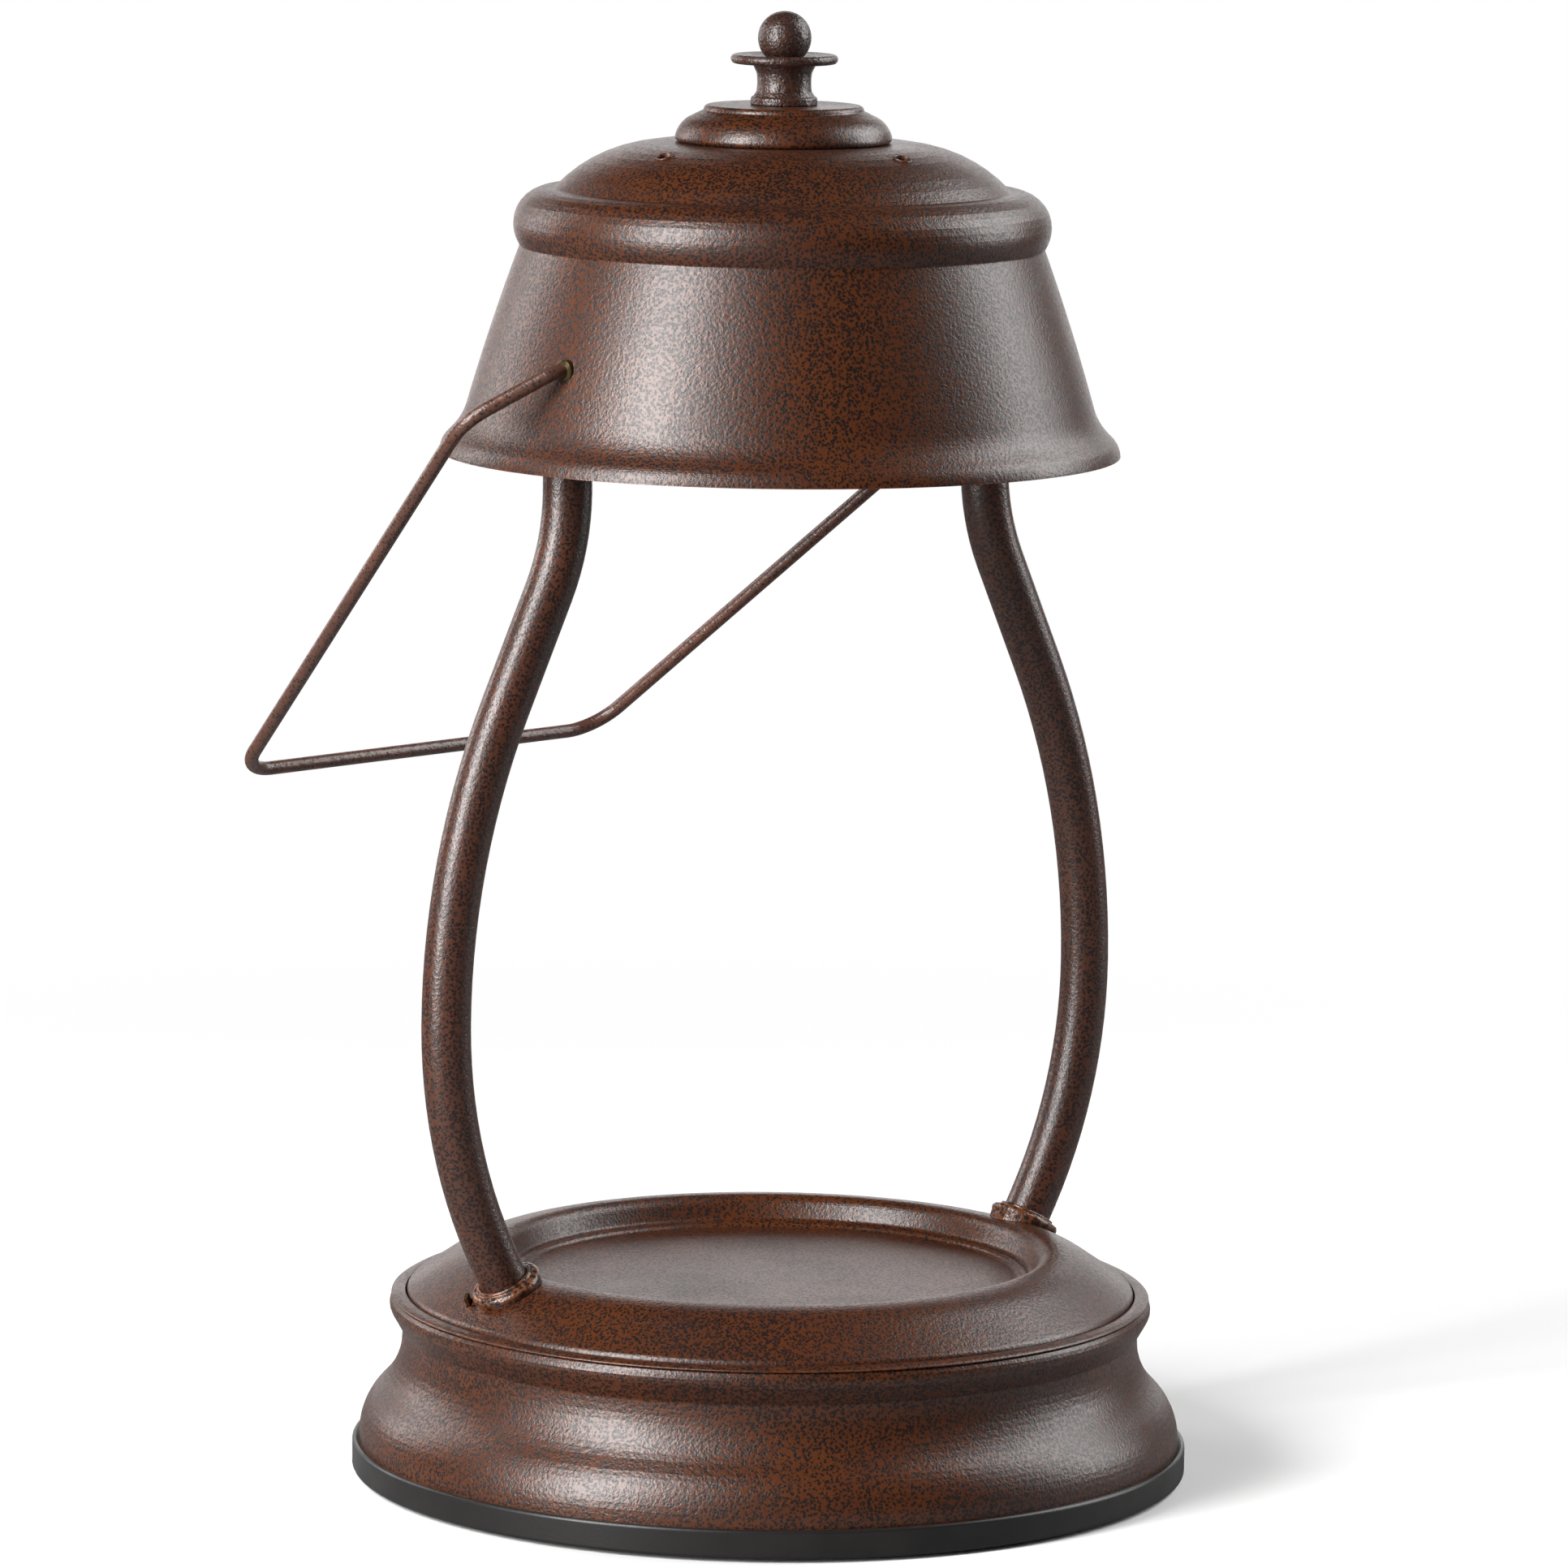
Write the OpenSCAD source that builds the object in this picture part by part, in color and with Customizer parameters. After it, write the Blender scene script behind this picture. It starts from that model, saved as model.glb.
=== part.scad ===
// Warming lamp: a reflector bulb hangs under a spun shade, over a round tray, and two
// bent tube posts carry it. Sizes are in millimetres and angles in degrees.
// The posts stand along X, the cord inlet is at the back (+Y), and the lamp rests on
// its pad at Z = 0.

/* [Base] */
// Outer radius of the moulded ring round the foot
ring_r = 95; // [80:0.5:110]
// Height of the ring's top edge above the ground
ring_top = 7; // [5:0.5:12]
// Gap between the ring and the ground, left by the pad
stand_off = 0.8; // [0.4:0.1:2]
// Radius of the round pad under the foot
pad_r = 75; // [60:1:85]
// Radius of the skirt's waist, under its rolled rim
waist_r = 83.75; // [78:0.25:88]
// Height of the skirt's waist
waist_z = 31; // [26:0.5:36]
// Sheet thickness of the skirt
skirt_wall = 1.0; // [0.8:0.1:1.5]
// Sheet thickness of the tray plate
tray_wall = 1.2; // [0.8:0.1:1.5]
// Height of the tray floor
floor_z = 44.4; // [40:0.2:50]

/* [Posts] */
// Radius of the post tube
tube_r = 5.5; // [4:0.25:7]
// Bore radius of the post tube
tube_bore_r = 4; // [3:0.25:5]
// Widest reach of a post's centre line from the lamp's axis
post_reach = 88.4; // [80:0.2:95]
// Height of that widest point
reach_z = 110.2; // [95:0.2:125]
// Distance of the posts' upper ends from the lamp's axis
post_top_x = 57.3; // [50:0.1:60]
// Lean of a post's foot, off the vertical
foot_lean = 28; // [20:1:35]
// Bend radius of the lower sweep
low_sweep = 117.7; // [100:0.5:140]
// Bend radius of the upper sweep
high_sweep = 170.9; // [150:0.5:200]
// Inward lean of the straight part over the upper sweep
neck_lean = 24.4; // [15:0.2:30]
// Bend radius where the post turns upright again
neck_sweep = 54; // [40:1:70]

/* [Shade] */
// Largest radius of the shade, at its rim
rim_r = 76.5; // [65:0.5:90]
// Height of the rim
rim_z = 233.1; // [220:0.1:245]
// Wall thickness of the spun shade
shade_wall = 0.9; // [0.6:0.1:1.5]
// Turn of the shade and bail against the line of the posts
shade_turn = 10; // [0:1:45]
// Radius of the circle of vent holes
vent_ring_r = 37; // [30:0.5:42]
// Radius of each vent hole
vent_r = 1.6; // [1:0.1:3]

/* [Bail] */
// Radius of the bail wire
wire_r = 1.6; // [1.2:0.1:2.5]
// Height of the bail's hinge line
hinge_z = 255.4; // [250:0.1:262]
// Half the distance between the bail's widest points
bail_half = 85.7; // [80:0.1:95]
// Distance from the hinge line to the crossbar
bail_reach = 156.3; // [140:0.1:165]
// Half the length of the crossbar, measured to the middle of its corners
bar_half = 56.5; // [45:0.5:70]
// Angle of the resting bail below the horizontal
bail_rest = 41; // [0:1:70]

/* [Bulb] */
// Radius of the reflector's face
bulb_r = 25; // [17:0.5:26]
// Height of the bulb's face
bulb_z = 229.4; // [226:0.2:235]
// Distance of each pin from the bulb's axis
pin_x = 5; // [5:0.5:6]
// Turn from locked to released
bulb_twist = 20; // [15:1:30]

/* [Hidden] */

steps = 8;              // straight steps in each arc of a profile
fine = 180;             // facets round a large turned part
round_fn = 48;          // facets round a tube, a wire or a screw
cut = 1;                // how far a cutter runs past the face it opens

// ---- Outline paths -------------------------------------------------------
// A path is a list of moves: [0, length] goes straight on, and [angle, radius] goes
// round an arc, to the left when the angle is positive. side shifts the whole path
// that far to its own left, so one path draws both faces of a sheet.
function left_of(h) = [-sin(h), cos(h)];
function arc_points(p, h, turn, r) = [for (k = [1:steps])
    p + sign(turn) * r * (left_of(h) - left_of(h + turn * k / steps))];
function last(v) = v[len(v) - 1];
function walk(p, h, moves, side, i = 0) = i >= len(moves) ? [] :
    let (m = moves[i])
    m[0] == 0
        ? let (q = p + m[1] * [cos(h), sin(h)])
          concat([q], walk(q, h, moves, side, i + 1))
        : let (pts = arc_points(p, h, m[0], m[1] - sign(m[0]) * side))
          concat(pts, walk(last(pts), h + m[0], moves, side, i + 1));
function path(p, h, moves, side = 0) =
    let (q = p + side * left_of(h)) concat([q], walk(q, h, moves, side));
function backwards(v) = [for (i = [len(v) - 1:-1:0]) v[i]];
function sheet(p, h, moves, wall) =
    concat(path(p, h, moves), backwards(path(p, h, moves, wall)));

module turned(points) {
    rotate_extrude($fn = fine) polygon(points);
}

// ---- Bent round stock ----------------------------------------------------
// The same kind of moves for a rod along +Z: a positive angle bends it toward +X. A
// third number rolls the bending plane about the rod first. The children are put at
// the far end, and a radius of zero draws nothing but them. Neighbouring lengths stop
// joint_gap short of each other inside a very slightly larger joint, so that no two
// faces of the rod coincide.
joint_gap = 0.05;
joint_half = 0.2;
joint_grow = 0.01;

module bent(moves, r, i = 0) {
    if (i < len(moves)) {
        m = moves[i];
        roll = len(m) > 2 ? m[2] : 0;
        g0 = i > 0 ? joint_gap : 0;
        g1 = i < len(moves) - 1 ? joint_gap : 0;
        if (r > 0 && i > 0)
            translate([0, 0, -joint_half])
                cylinder(r = r + joint_grow, h = 2 * joint_half, $fn = round_fn);
        if (m[0] == 0) {
            if (r > 0)
                translate([0, 0, g0]) cylinder(r = r, h = m[1] - g0 - g1, $fn = round_fn);
            translate([0, 0, m[1]]) bent(moves, r, i + 1) children();
        } else {
            s = sign(m[0]);
            t0 = g0 / m[1] * 180 / PI;
            t1 = g1 / m[1] * 180 / PI;
            rotate([0, 0, roll]) {
                if (r > 0)
                    translate([s * m[1], 0, 0])
                        rotate([90, 0, s > 0 ? 180 : 0]) rotate([0, 0, t0])
                            rotate_extrude(angle = abs(m[0]) - t0 - t1, $fn = fine)
                                translate([m[1], 0]) circle(r = r, $fn = round_fn);
                translate([s * m[1], 0, 0]) rotate([0, m[0], 0])
                    translate([-s * m[1], 0, 0]) bent(moves, r, i + 1) children();
            }
        }
    } else {
        children();
    }
}

module hex_nut(across, h, bore_r) {
    difference() {
        cylinder(d = across / cos(30), h = h, $fn = 6);
        translate([0, 0, -cut]) cylinder(r = bore_r, h = h + 2 * cut, $fn = round_fn);
    }
}

module pan_screw(r, length, head_r, head_h) {
    translate([0, 0, -length]) cylinder(r = r, h = length + head_h / 2, $fn = round_fn);
    difference() {
        rotate_extrude($fn = round_fn)
            polygon([[0, 0], [head_r, 0], [head_r, head_h * 0.5], [head_r * 0.8, head_h * 0.85],
                     [head_r * 0.45, head_h], [0, head_h]]);
        for (a = [0, 90])
            rotate([0, 0, a]) translate([-head_r * 0.55, -0.4, head_h * 0.5])
                cube([head_r * 1.1, 0.8, head_h]);
    }
}

module both_sides() {
    children();
    rotate([0, 0, 180]) children();
}

// ---- Foot ----------------------------------------------------------------
cover_floor = 2;        // underside of the cover's floor
cover_wall = 2;
skirt_r = 93.4;         // outer radius of the skirt's lower edge
lip_gap = 0.2;          // play between the cover's upstand and the skirt
pillar_pitch_r = 50;
pillar_r = 4;
pillar_angles = [90, 210, 330];
boss_top = 8;
screw_head_r = 3.6;
inlet_z = 13;
grommet_neck_r = 4.4;
inlet_r = 3.1;

module at_pillars() {
    for (a = pillar_angles) rotate([0, 0, a]) translate([pillar_pitch_r, 0, 0]) children();
}

module base_pad() {
    screw_hole_r = 6;
    color([0.09, 0.09, 0.09]) difference() {
        turned([[0, 0], [pad_r - 0.5, 0], [pad_r, 0.5], [pad_r, cover_floor], [0, cover_floor]]);
        at_pillars() translate([0, 0, -cut]) cylinder(r = screw_hole_r, h = 4, $fn = round_fn);
    }
}

module bottom_cover() {
    edge = 0.8;
    upstand_r = skirt_r - skirt_wall - lip_gap;
    floor_top = cover_floor + cover_wall;
    ledge = 0.35;
    rib_in = 14;
    rib_h = 3;
    color([0.13, 0.12, 0.12]) {
        difference() {
            union() {
                turned(concat(
                    [[0, floor_top], [0, cover_floor], [pad_r + 1, cover_floor],
                     [pad_r + 2.2, stand_off], [ring_r - edge, stand_off]],
                    path([ring_r - edge, stand_off], 0, [[90, edge], [0, ring_top - stand_off
                        - 2 * edge + ledge], [90, edge]]),
                    [[skirt_r, ring_top], [upstand_r, ring_top], [upstand_r, ring_top + 3.6],
                     [upstand_r - 0.4, ring_top + 4], [upstand_r - 1.6, ring_top + 4],
                     [upstand_r - 1.6, floor_top]]));
                at_pillars() cylinder_between(cover_floor + 0.5, boss_top, 6);
                for (a = [30:60:330])
                    rotate([0, 0, a]) translate([rib_in, -0.8, floor_top - 0.5])
                        cube([upstand_r - 1 - rib_in, 1.6, rib_h + 0.5]);
            }
            at_pillars() {
                cylinder_between(-cut, boss_top - 2, screw_head_r + 0.3);
                cylinder_between(-cut, boss_top + cut, 2.2);
            }
            // gap in the upstand for the cord inlet
            translate([-7, upstand_r - 5, ring_top + 0.2]) cube([14, 8, 8]);
        }
    }
}

module cylinder_between(z0, z1, r) {
    translate([0, 0, z0]) cylinder(r = r, h = z1 - z0, $fn = round_fn);
}

module cover_screws() {
    color([0.75, 0.75, 0.77]) at_pillars()
        translate([0, 0, boss_top - 2]) rotate([180, 0, 0])
            pan_screw(2, 9.5, screw_head_r, 2.4);
}

module tray_pillars() {
    color([0.72, 0.72, 0.74]) at_pillars() difference() {
        cylinder_between(boss_top, floor_z - tray_wall, pillar_r);
        cylinder_between(boss_top - cut, boss_top + 12, 2);
    }
}

// The skirt's cove runs from its upright foot to the waist in two arcs that meet
// without a kink, and a curl round the tray's edge finishes it.
cove_low_r = 14.5;
cove_high_r = 16.5;
cove_drop = sqrt(pow(cove_low_r + cove_high_r, 2)
    - pow(waist_r + cove_high_r - (skirt_r - cove_low_r), 2));
cove_turn = asin(cove_drop / (cove_low_r + cove_high_r));
foot_wall_h = waist_z - cove_drop - ring_top;
waist_flat = 1.2;
flare_r = 1.4;
curl_r = 2.75;
curl_out = 86.65;       // widest radius of the rolled rim
curl_z = 38.35;
curl_gap_x = curl_out - curl_r - (waist_r + flare_r);
curl_gap_z = curl_z - waist_z - waist_flat;
curl_span = sqrt(pow(curl_gap_x, 2) + pow(curl_gap_z, 2));
flare_turn = 90 + asin((flare_r + curl_r) / curl_span) - atan2(curl_gap_z, curl_gap_x);
flare_run = sqrt(pow(curl_span, 2) - pow(flare_r + curl_r, 2));
curl_turn = 108;
skirt_moves = [[0, foot_wall_h], [cove_turn, cove_low_r], [-cove_turn, cove_high_r],
    [0, waist_flat], [-flare_turn, flare_r], [0, flare_run],
    [flare_turn + curl_turn, curl_r]];

module base_skirt() {
    color([0.36, 0.24, 0.19]) difference() {
        turned(sheet([skirt_r, ring_top], 90, skirt_moves, skirt_wall));
        translate([0, skirt_r - 20, inlet_z]) rotate([-90, 0, 0])
            cylinder(r = grommet_neck_r, h = 30, $fn = round_fn);
    }
}

// The tray plate, drawn from the lower edge of its hidden flange up over the crest,
// down the steep inner wall and across the floor.
flange_play = 0.03;
flange_r = waist_r - skirt_wall - flange_play;
slope = 34;
crest_r = 16;
wall_tilt = 68;
edge_r = 1.6;
flange_h = 10;
tray_moves = [[0, flange_h], [90 - slope, edge_r], [0, 10.4], [slope, crest_r], [0, 0.2],
    [wall_tilt, 3.5], [0, 2.7], [-wall_tilt, 1.3], [0, 0.3], [49, edge_r], [-49, edge_r]];
tray_rise = last(path([flange_r, 0], 90, tray_moves))[1];
tray_start = [flange_r, floor_z - tray_rise];

module tray_envelope(side) {
    top = path(tray_start, 90, tray_moves, side);
    turned(concat([[0, 20], [flange_r - side, 20]], top, [[0, last(top)[1]]]));
}

// Frame of a post's foot: its origin is on the tray's crest and its Z runs up the tube.
sweep_foot_x = post_reach - low_sweep * (1 - cos(foot_lean));
sweep_foot_z = reach_z - low_sweep * sin(foot_lean);
foot_run = 6.4;
foot_x = sweep_foot_x - foot_run * sin(foot_lean);
foot_z = sweep_foot_z - foot_run * cos(foot_lean);
thread_r = 4;
thread_bore_r = 2.75;
nut_across = 13;
collar_r = 8.1;
collar_h = 2.8;
ledge_h = 0.8;          // the tube stands on a ledge this high inside the collar
saddle_z = -5.2;        // lower face of the saddle under the plate
plate_t = 0.8;
nut_h = 4;
tail = 11.5;            // length of the threaded tail below the crest
tab_reach = 9.3;
tab_angle = 135;        // where the lock plate's tab comes up, on the outer back side

module at_foot() {
    translate([foot_x, 0, foot_z]) rotate([0, foot_lean, 0]) children();
}

// Puts the right foot's part at the left foot too, as its mirror image
module at_both_feet() {
    at_foot() children();
    mirror([1, 0, 0]) at_foot() children();
}

module tab_slot(grow, h0, h1) {
    rotate([0, 0, 180 - tab_angle]) translate([tab_reach - grow, -1.3 - grow, h0])
        cube([0.8 + 2 * grow, 2.6 + 2 * grow, h1 - h0]);
}

module base_top() {
    color([0.36, 0.24, 0.19]) difference() {
        turned(concat(
            path(tray_start, 90, tray_moves), [[0, floor_z], [0, floor_z - tray_wall]],
            backwards(path(tray_start, 90, tray_moves, tray_wall))));
        at_both_feet() {
            cylinder_between(-8, 4, thread_r + 0.1);
            tab_slot(0.3, -8, 4);
        }
    }
}

module foot_collar() {
    difference() {
        at_foot() difference() {
            rotate_extrude($fn = round_fn * 2)
                polygon(concat([[thread_r + 0.1, -1], [collar_r - 0.4, -1]],
                    path([collar_r - 0.3, -1], 0, [[90, 0.3], [0, collar_h - 0.9],
                        [70, 1.4], [0, 0.5]]),
                    [[tube_r, collar_h + 1], [tube_r, ledge_h], [thread_r + 0.1, ledge_h]]));
        }
        tray_envelope(0);
    }
}

module foot_collar_right() {
    color([0.36, 0.24, 0.19]) foot_collar();
}

module foot_collar_left() {
    color([0.36, 0.24, 0.19]) mirror([1, 0, 0]) foot_collar();
}

module foot_saddles() {
    saddle_r = 7.2;
    color([0.7, 0.7, 0.72]) for (m = [0, 1]) mirror([m, 0, 0]) intersection() {
        at_foot() difference() {
            cylinder_between(saddle_z, 2, saddle_r);
            cylinder_between(saddle_z - cut, 3, thread_r + 0.1);
        }
        tray_envelope(tray_wall);
    }
}

module lock_plates() {
    washer_r = 7.2;
    arm_w = 2.2;
    color([0.72, 0.56, 0.28]) for (m = [0, 1]) mirror([m, 0, 0]) at_foot() {
        translate([0, 0, saddle_z - plate_t]) linear_extrude(plate_t) difference() {
            union() {
                circle(r = washer_r, $fn = round_fn);
                rotate(180 - tab_angle) translate([thread_r, -arm_w / 2])
                    square([tab_reach + 0.4 - thread_r, arm_w]);
            }
            circle(r = thread_r + 0.1, $fn = round_fn);
        }
        tab_slot(0, saddle_z - plate_t + 0.1, 1.2);
    }
}

module foot_nuts() {
    color([0.72, 0.72, 0.74]) for (m = [0, 1]) mirror([m, 0, 0]) at_foot()
        translate([0, 0, saddle_z - plate_t - nut_h]) rotate([0, 0, 30])
            hex_nut(nut_across, nut_h, thread_r);
}

// ---- Posts ---------------------------------------------------------------
sweep_top_x = post_reach - high_sweep * (1 - cos(neck_lean));
neck_drop = neck_sweep * (1 - cos(neck_lean));
neck_run = (sweep_top_x - post_top_x - neck_drop) / sin(neck_lean);
neck_top_z = reach_z + high_sweep * sin(neck_lean) + neck_run * cos(neck_lean)
    + neck_sweep * sin(neck_lean);
yoke_z = 240;           // shoulder of the posts, under the yoke
stub = 8.5;             // threaded end above that shoulder
post_moves = [[0, foot_run - ledge_h], [-foot_lean, low_sweep], [-neck_lean, high_sweep],
    [0, neck_run], [neck_lean, neck_sweep], [0, yoke_z - neck_top_z]];
bore_from = ledge_h + 2;    // the full bore stops this far from each shoulder
bore_moves = [[0, foot_run - bore_from], [-foot_lean, low_sweep], [-neck_lean, high_sweep],
    [0, neck_run], [neck_lean, neck_sweep], [0, yoke_z - neck_top_z - 2]];

module post() {
    difference() {
        at_foot() {
            translate([0, 0, ledge_h]) bent(post_moves, tube_r)
                cylinder_between(-1, stub, thread_r);
            cylinder_between(-tail, ledge_h + 1, thread_r);
        }
        at_foot() {
            translate([0, 0, bore_from]) bent(bore_moves, tube_bore_r)
                cylinder_between(-1, stub + 3, thread_bore_r);
            cylinder_between(-tail - cut, bore_from + 1, thread_bore_r);
        }
    }
}

module post_right() {
    color([0.33, 0.21, 0.17]) post();
}

module post_left() {
    color([0.33, 0.21, 0.17]) mirror([1, 0, 0]) post();
}

// ---- Yoke and lampholder --------------------------------------------------
yoke_w = 16;
yoke_t = 2;
leg_x = 34;             // inner face of each yoke leg
yoke_top = 297.8;
yoke_end_x = 66;
leg_bend = 2;
deck_z = yoke_top - yoke_t;
bolt_r = 3;
screw_x = 9.6;
lead_slot_z = 281.5;
slot_r = 3.2;
slot_run = 2.8;         // half the slot's straight length
yoke_moves = [[0, leg_x - leg_bend], [-90, leg_bend],
    [0, deck_z - leg_bend - (leg_bend + yoke_t) - yoke_z], [90, leg_bend + yoke_t],
    [0, yoke_end_x - leg_x - leg_bend - yoke_t]];

module yoke() {
    color([0.7, 0.7, 0.72]) difference() {
        rotate([90, 0, 0]) translate([0, 0, -yoke_w / 2]) linear_extrude(yoke_w)
            polygon(concat(sheet([0, deck_z], 0, yoke_moves, yoke_t),
                [for (p = backwards(sheet([0, deck_z], 0, yoke_moves, yoke_t)))
                    [-p[0], p[1]]]));
        for (s = [-1, 1]) {
            translate([s * post_top_x, 0, yoke_z - cut])
                cylinder(r = thread_r + 0.1, h = 4, $fn = round_fn);
            translate([s * screw_x, 0, deck_z - cut]) cylinder(r = 1.7, h = 4, $fn = round_fn);
        }
        translate([0, 0, deck_z - cut]) cylinder(r = bolt_r + 0.1, h = 4, $fn = round_fn);
        translate([leg_x - cut, 0, lead_slot_z]) rotate([0, 90, 0]) lead_slot(0, 4);
    }
}

// Rounded slot for the leads, long side along -X of its own frame
module lead_slot(grow, h) {
    for (s = [-1, 1])
        translate([s * slot_run, 0, 0]) cylinder(r = slot_r + grow, h = h, $fn = round_fn);
    translate([-slot_run, -slot_r - grow, 0]) cube([2 * slot_run, 2 * (slot_r + grow), h]);
}

module lead_bush() {
    color([0.12, 0.12, 0.12]) translate([leg_x, 0, lead_slot_z]) rotate([0, 90, 0])
        difference() {
            union() {
                translate([0, 0, -1]) lead_slot(0.9, 1);
                lead_slot(0, yoke_t);
                translate([0, 0, yoke_t]) lead_slot(0.9, 1);
            }
            translate([0, 0, -2]) lead_slot(-0.7, 7);
        }
}

module head_nuts() {
    color([0.72, 0.72, 0.74]) for (s = [-1, 1])
        translate([s * post_top_x, 0, yoke_z + yoke_t]) rotate([0, 0, 30])
            hex_nut(nut_across, nut_h, thread_r);
}

holder_r = 13.5;
holder_h = 16;
holder_z = deck_z - holder_h;
head_h = 4;
lead_y = 1.3;
lead_r = 1.1;
lead_in_z = 288;

module keyhole() {
    slot_r = 1.6;
    entry_r = 2.7;
    for (k = [0:10]) rotate([0, 0, bulb_twist * k / 10]) translate([pin_x, 0, 0])
        cylinder(r = slot_r, h = 4, $fn = 32);
    rotate([0, 0, bulb_twist]) translate([pin_x, 0, 0]) cylinder(r = entry_r, h = 4, $fn = 32);
}

module lampholder() {
    color([0.9, 0.88, 0.84]) difference() {
        translate([0, 0, holder_z]) turned(concat([[0, 0]],
            path([holder_r - 0.6, 0], 0, [[90, 0.6], [0, holder_h - 1.2], [90, 0.6]]),
            [[0, holder_h]]));
        translate([0, 0, holder_z]) turned([[1.8, 2], [8.4, 2], [8.4, 8], [1.8, 8]]);
        both_sides() translate([0, 0, holder_z - cut]) keyhole();
        translate([0, 0, deck_z - head_h - 1]) cylinder(r = 6.4, h = head_h + 2, $fn = round_fn);
        for (s = [-1, 1]) {
            translate([s * screw_x, 0, deck_z - 5.5])
                cylinder(r = 1.5, h = 7, $fn = round_fn);
            translate([holder_r - 3.2, s * lead_y, lead_in_z]) rotate([0, 90, 0])
                cylinder(r = lead_r, h = 8, $fn = round_fn);
        }
    }
}

module holder_screws() {
    color([0.78, 0.78, 0.8]) for (s = [-1, 1])
        translate([s * screw_x, 0, yoke_top]) pan_screw(1.5, yoke_t + 5.3, 2.8, 1.8);
}

// ---- Leads ----------------------------------------------------------------
// From the lampholder, through the yoke's slot, down the right post and out of its tail
drop_turn = 40;
lead_bend = 8;
slant = lead_in_z - 252 - lead_bend * (sin(drop_turn) + 1 - cos(90 - drop_turn));
slant_run = slant / cos(drop_turn);
lead_x0 = post_top_x - lead_bend * (1 - cos(drop_turn)) - slant_run * sin(drop_turn)
    - lead_bend * sin(90 - drop_turn);
lead_from = holder_r - 3;
tail_run = 34.8;
splay = 13;
cap_run = 16;
function lead_moves(s) = [[0, lead_x0 - lead_from], [90 - drop_turn, lead_bend],
    [0, slant_run], [drop_turn, lead_bend], [0, 252 - neck_top_z], [-neck_lean, neck_sweep],
    [0, neck_run], [neck_lean, high_sweep], [foot_lean, low_sweep],
    [0, foot_run + tail_run], [90 - foot_lean, lead_bend], [0, 6], [s * splay, 20, 90],
    [0, cap_run]];

module at_lead(s) {
    translate([lead_from, s * lead_y, lead_in_z]) rotate([0, 90, 0]) children();
}

module lead_live() {
    color([0.35, 0.2, 0.12]) at_lead(-1) bent(lead_moves(-1), lead_r);
}

module lead_neutral() {
    color([0.85, 0.86, 0.9]) at_lead(1) bent(lead_moves(1), lead_r);
}

module splice_caps() {
    cap_r = 2.9;
    cap_len = 15;
    inside = 7;
    color([0.86, 0.84, 0.78]) for (s = [-1, 1]) at_lead(s) bent(lead_moves(s), 0)
        translate([0, 0, -inside]) difference() {
            rotate_extrude($fn = round_fn) polygon(concat([[0, 0]],
                path([cap_r, 0], 90, [[0, cap_len - 3], [20, 2], [0, 2], [70, 1.2]]),
                [[0, cap_len + 1.2]]));
            translate([0, 0, -cut]) cylinder(r = lead_r, h = inside + cut, $fn = round_fn);
        }
}

module cord_grommet() {
    lip_r = 5.6;
    color([0.1, 0.1, 0.1]) translate([0, 0, inlet_z]) rotate([-90, 0, 0]) difference() {
        union() {
            difference() {
                translate([0, 0, 86]) cylinder(r = lip_r, h = 8.6, $fn = round_fn);
                rotate([90, 0, 0]) translate([0, 0, -inlet_z]) turned(concat([[0, 0]],
                    path([skirt_r, ring_top], 90, skirt_moves), [[0, curl_z]]));
            }
            translate([0, 0, 83.5]) cylinder(r = grommet_neck_r, h = 9.5, $fn = round_fn);
            translate([0, 0, 84.2]) cylinder(r = grommet_neck_r + 0.5, h = 1.6, $fn = round_fn);
        }
        translate([0, 0, 80]) cylinder(r = inlet_r, h = 20, $fn = round_fn);
    }
}

// ---- Bulb -----------------------------------------------------------------
neck_z = holder_z - 0.3;    // top face of the bulb's base
base_r = 9.8;
base_h = 14.5;
base_z = neck_z - base_h;
socket_h = 4.5;
stem_r = 2.4;
stem_h = 8;
glass_t = 1.3;
bowl_z = bulb_z + 1.4;
bowl_curve = [[0, 2.6], [8, 60], [38, 38], [-52, 0.8]];
bowl_end = last(path([bulb_r, bowl_z], 96, bowl_curve));
bowl_moves = concat(bowl_curve, [[0, base_z + socket_h - bowl_end[1]]]);

module bulb_base() {
    color([0.88, 0.87, 0.84]) difference() {
        translate([0, 0, base_z]) turned(concat([[0, 0]],
            path([base_r - 0.4, 0], 0, [[90, 0.4], [0, base_h - 1.6], [90, 1.2]]),
            [[0, base_h]]));
        for (s = [-1, 1]) translate([s * pin_x, 0, neck_z - 5])
            cylinder(r = pin_r, h = 6, $fn = round_fn);
        cylinder_between(base_z - cut, base_z + socket_h, bowl_end[0]);
        cylinder_between(base_z, base_z + stem_h, stem_r);
    }
}

pin_r = 1.3;

module bulb_pins() {
    color([0.8, 0.72, 0.45]) for (s = [-1, 1]) translate([s * pin_x, 0, 0]) {
        cylinder_between(neck_z - 5, neck_z + 4, pin_r);
        translate([0, 0, neck_z + 3.2])
            rotate_extrude($fn = 32) polygon([[0, 0], [2.3, 0], [2.3, 1.4], [1.7, 2], [0, 2]]);
    }
}

module bulb_reflector() {
    color([0.8, 0.82, 0.85]) turned(concat(
        [[bulb_r, bowl_z - 1.4]], sheet([bulb_r, bowl_z], 96, bowl_moves, glass_t),
        [[bulb_r - 1.4, bowl_z - 1.4]]));
}

module bulb_capsule() {
    outline = path([stem_r, base_z + stem_h], -90,
        [[0, stem_h + 5], [40, 2], [-40, 2], [0, 7], [-80, 3.2]]);
    color([0.92, 0.93, 0.95])
        turned(concat([[0, outline[0][1]]], outline, [[0, last(outline)[1]]]));
}

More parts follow.
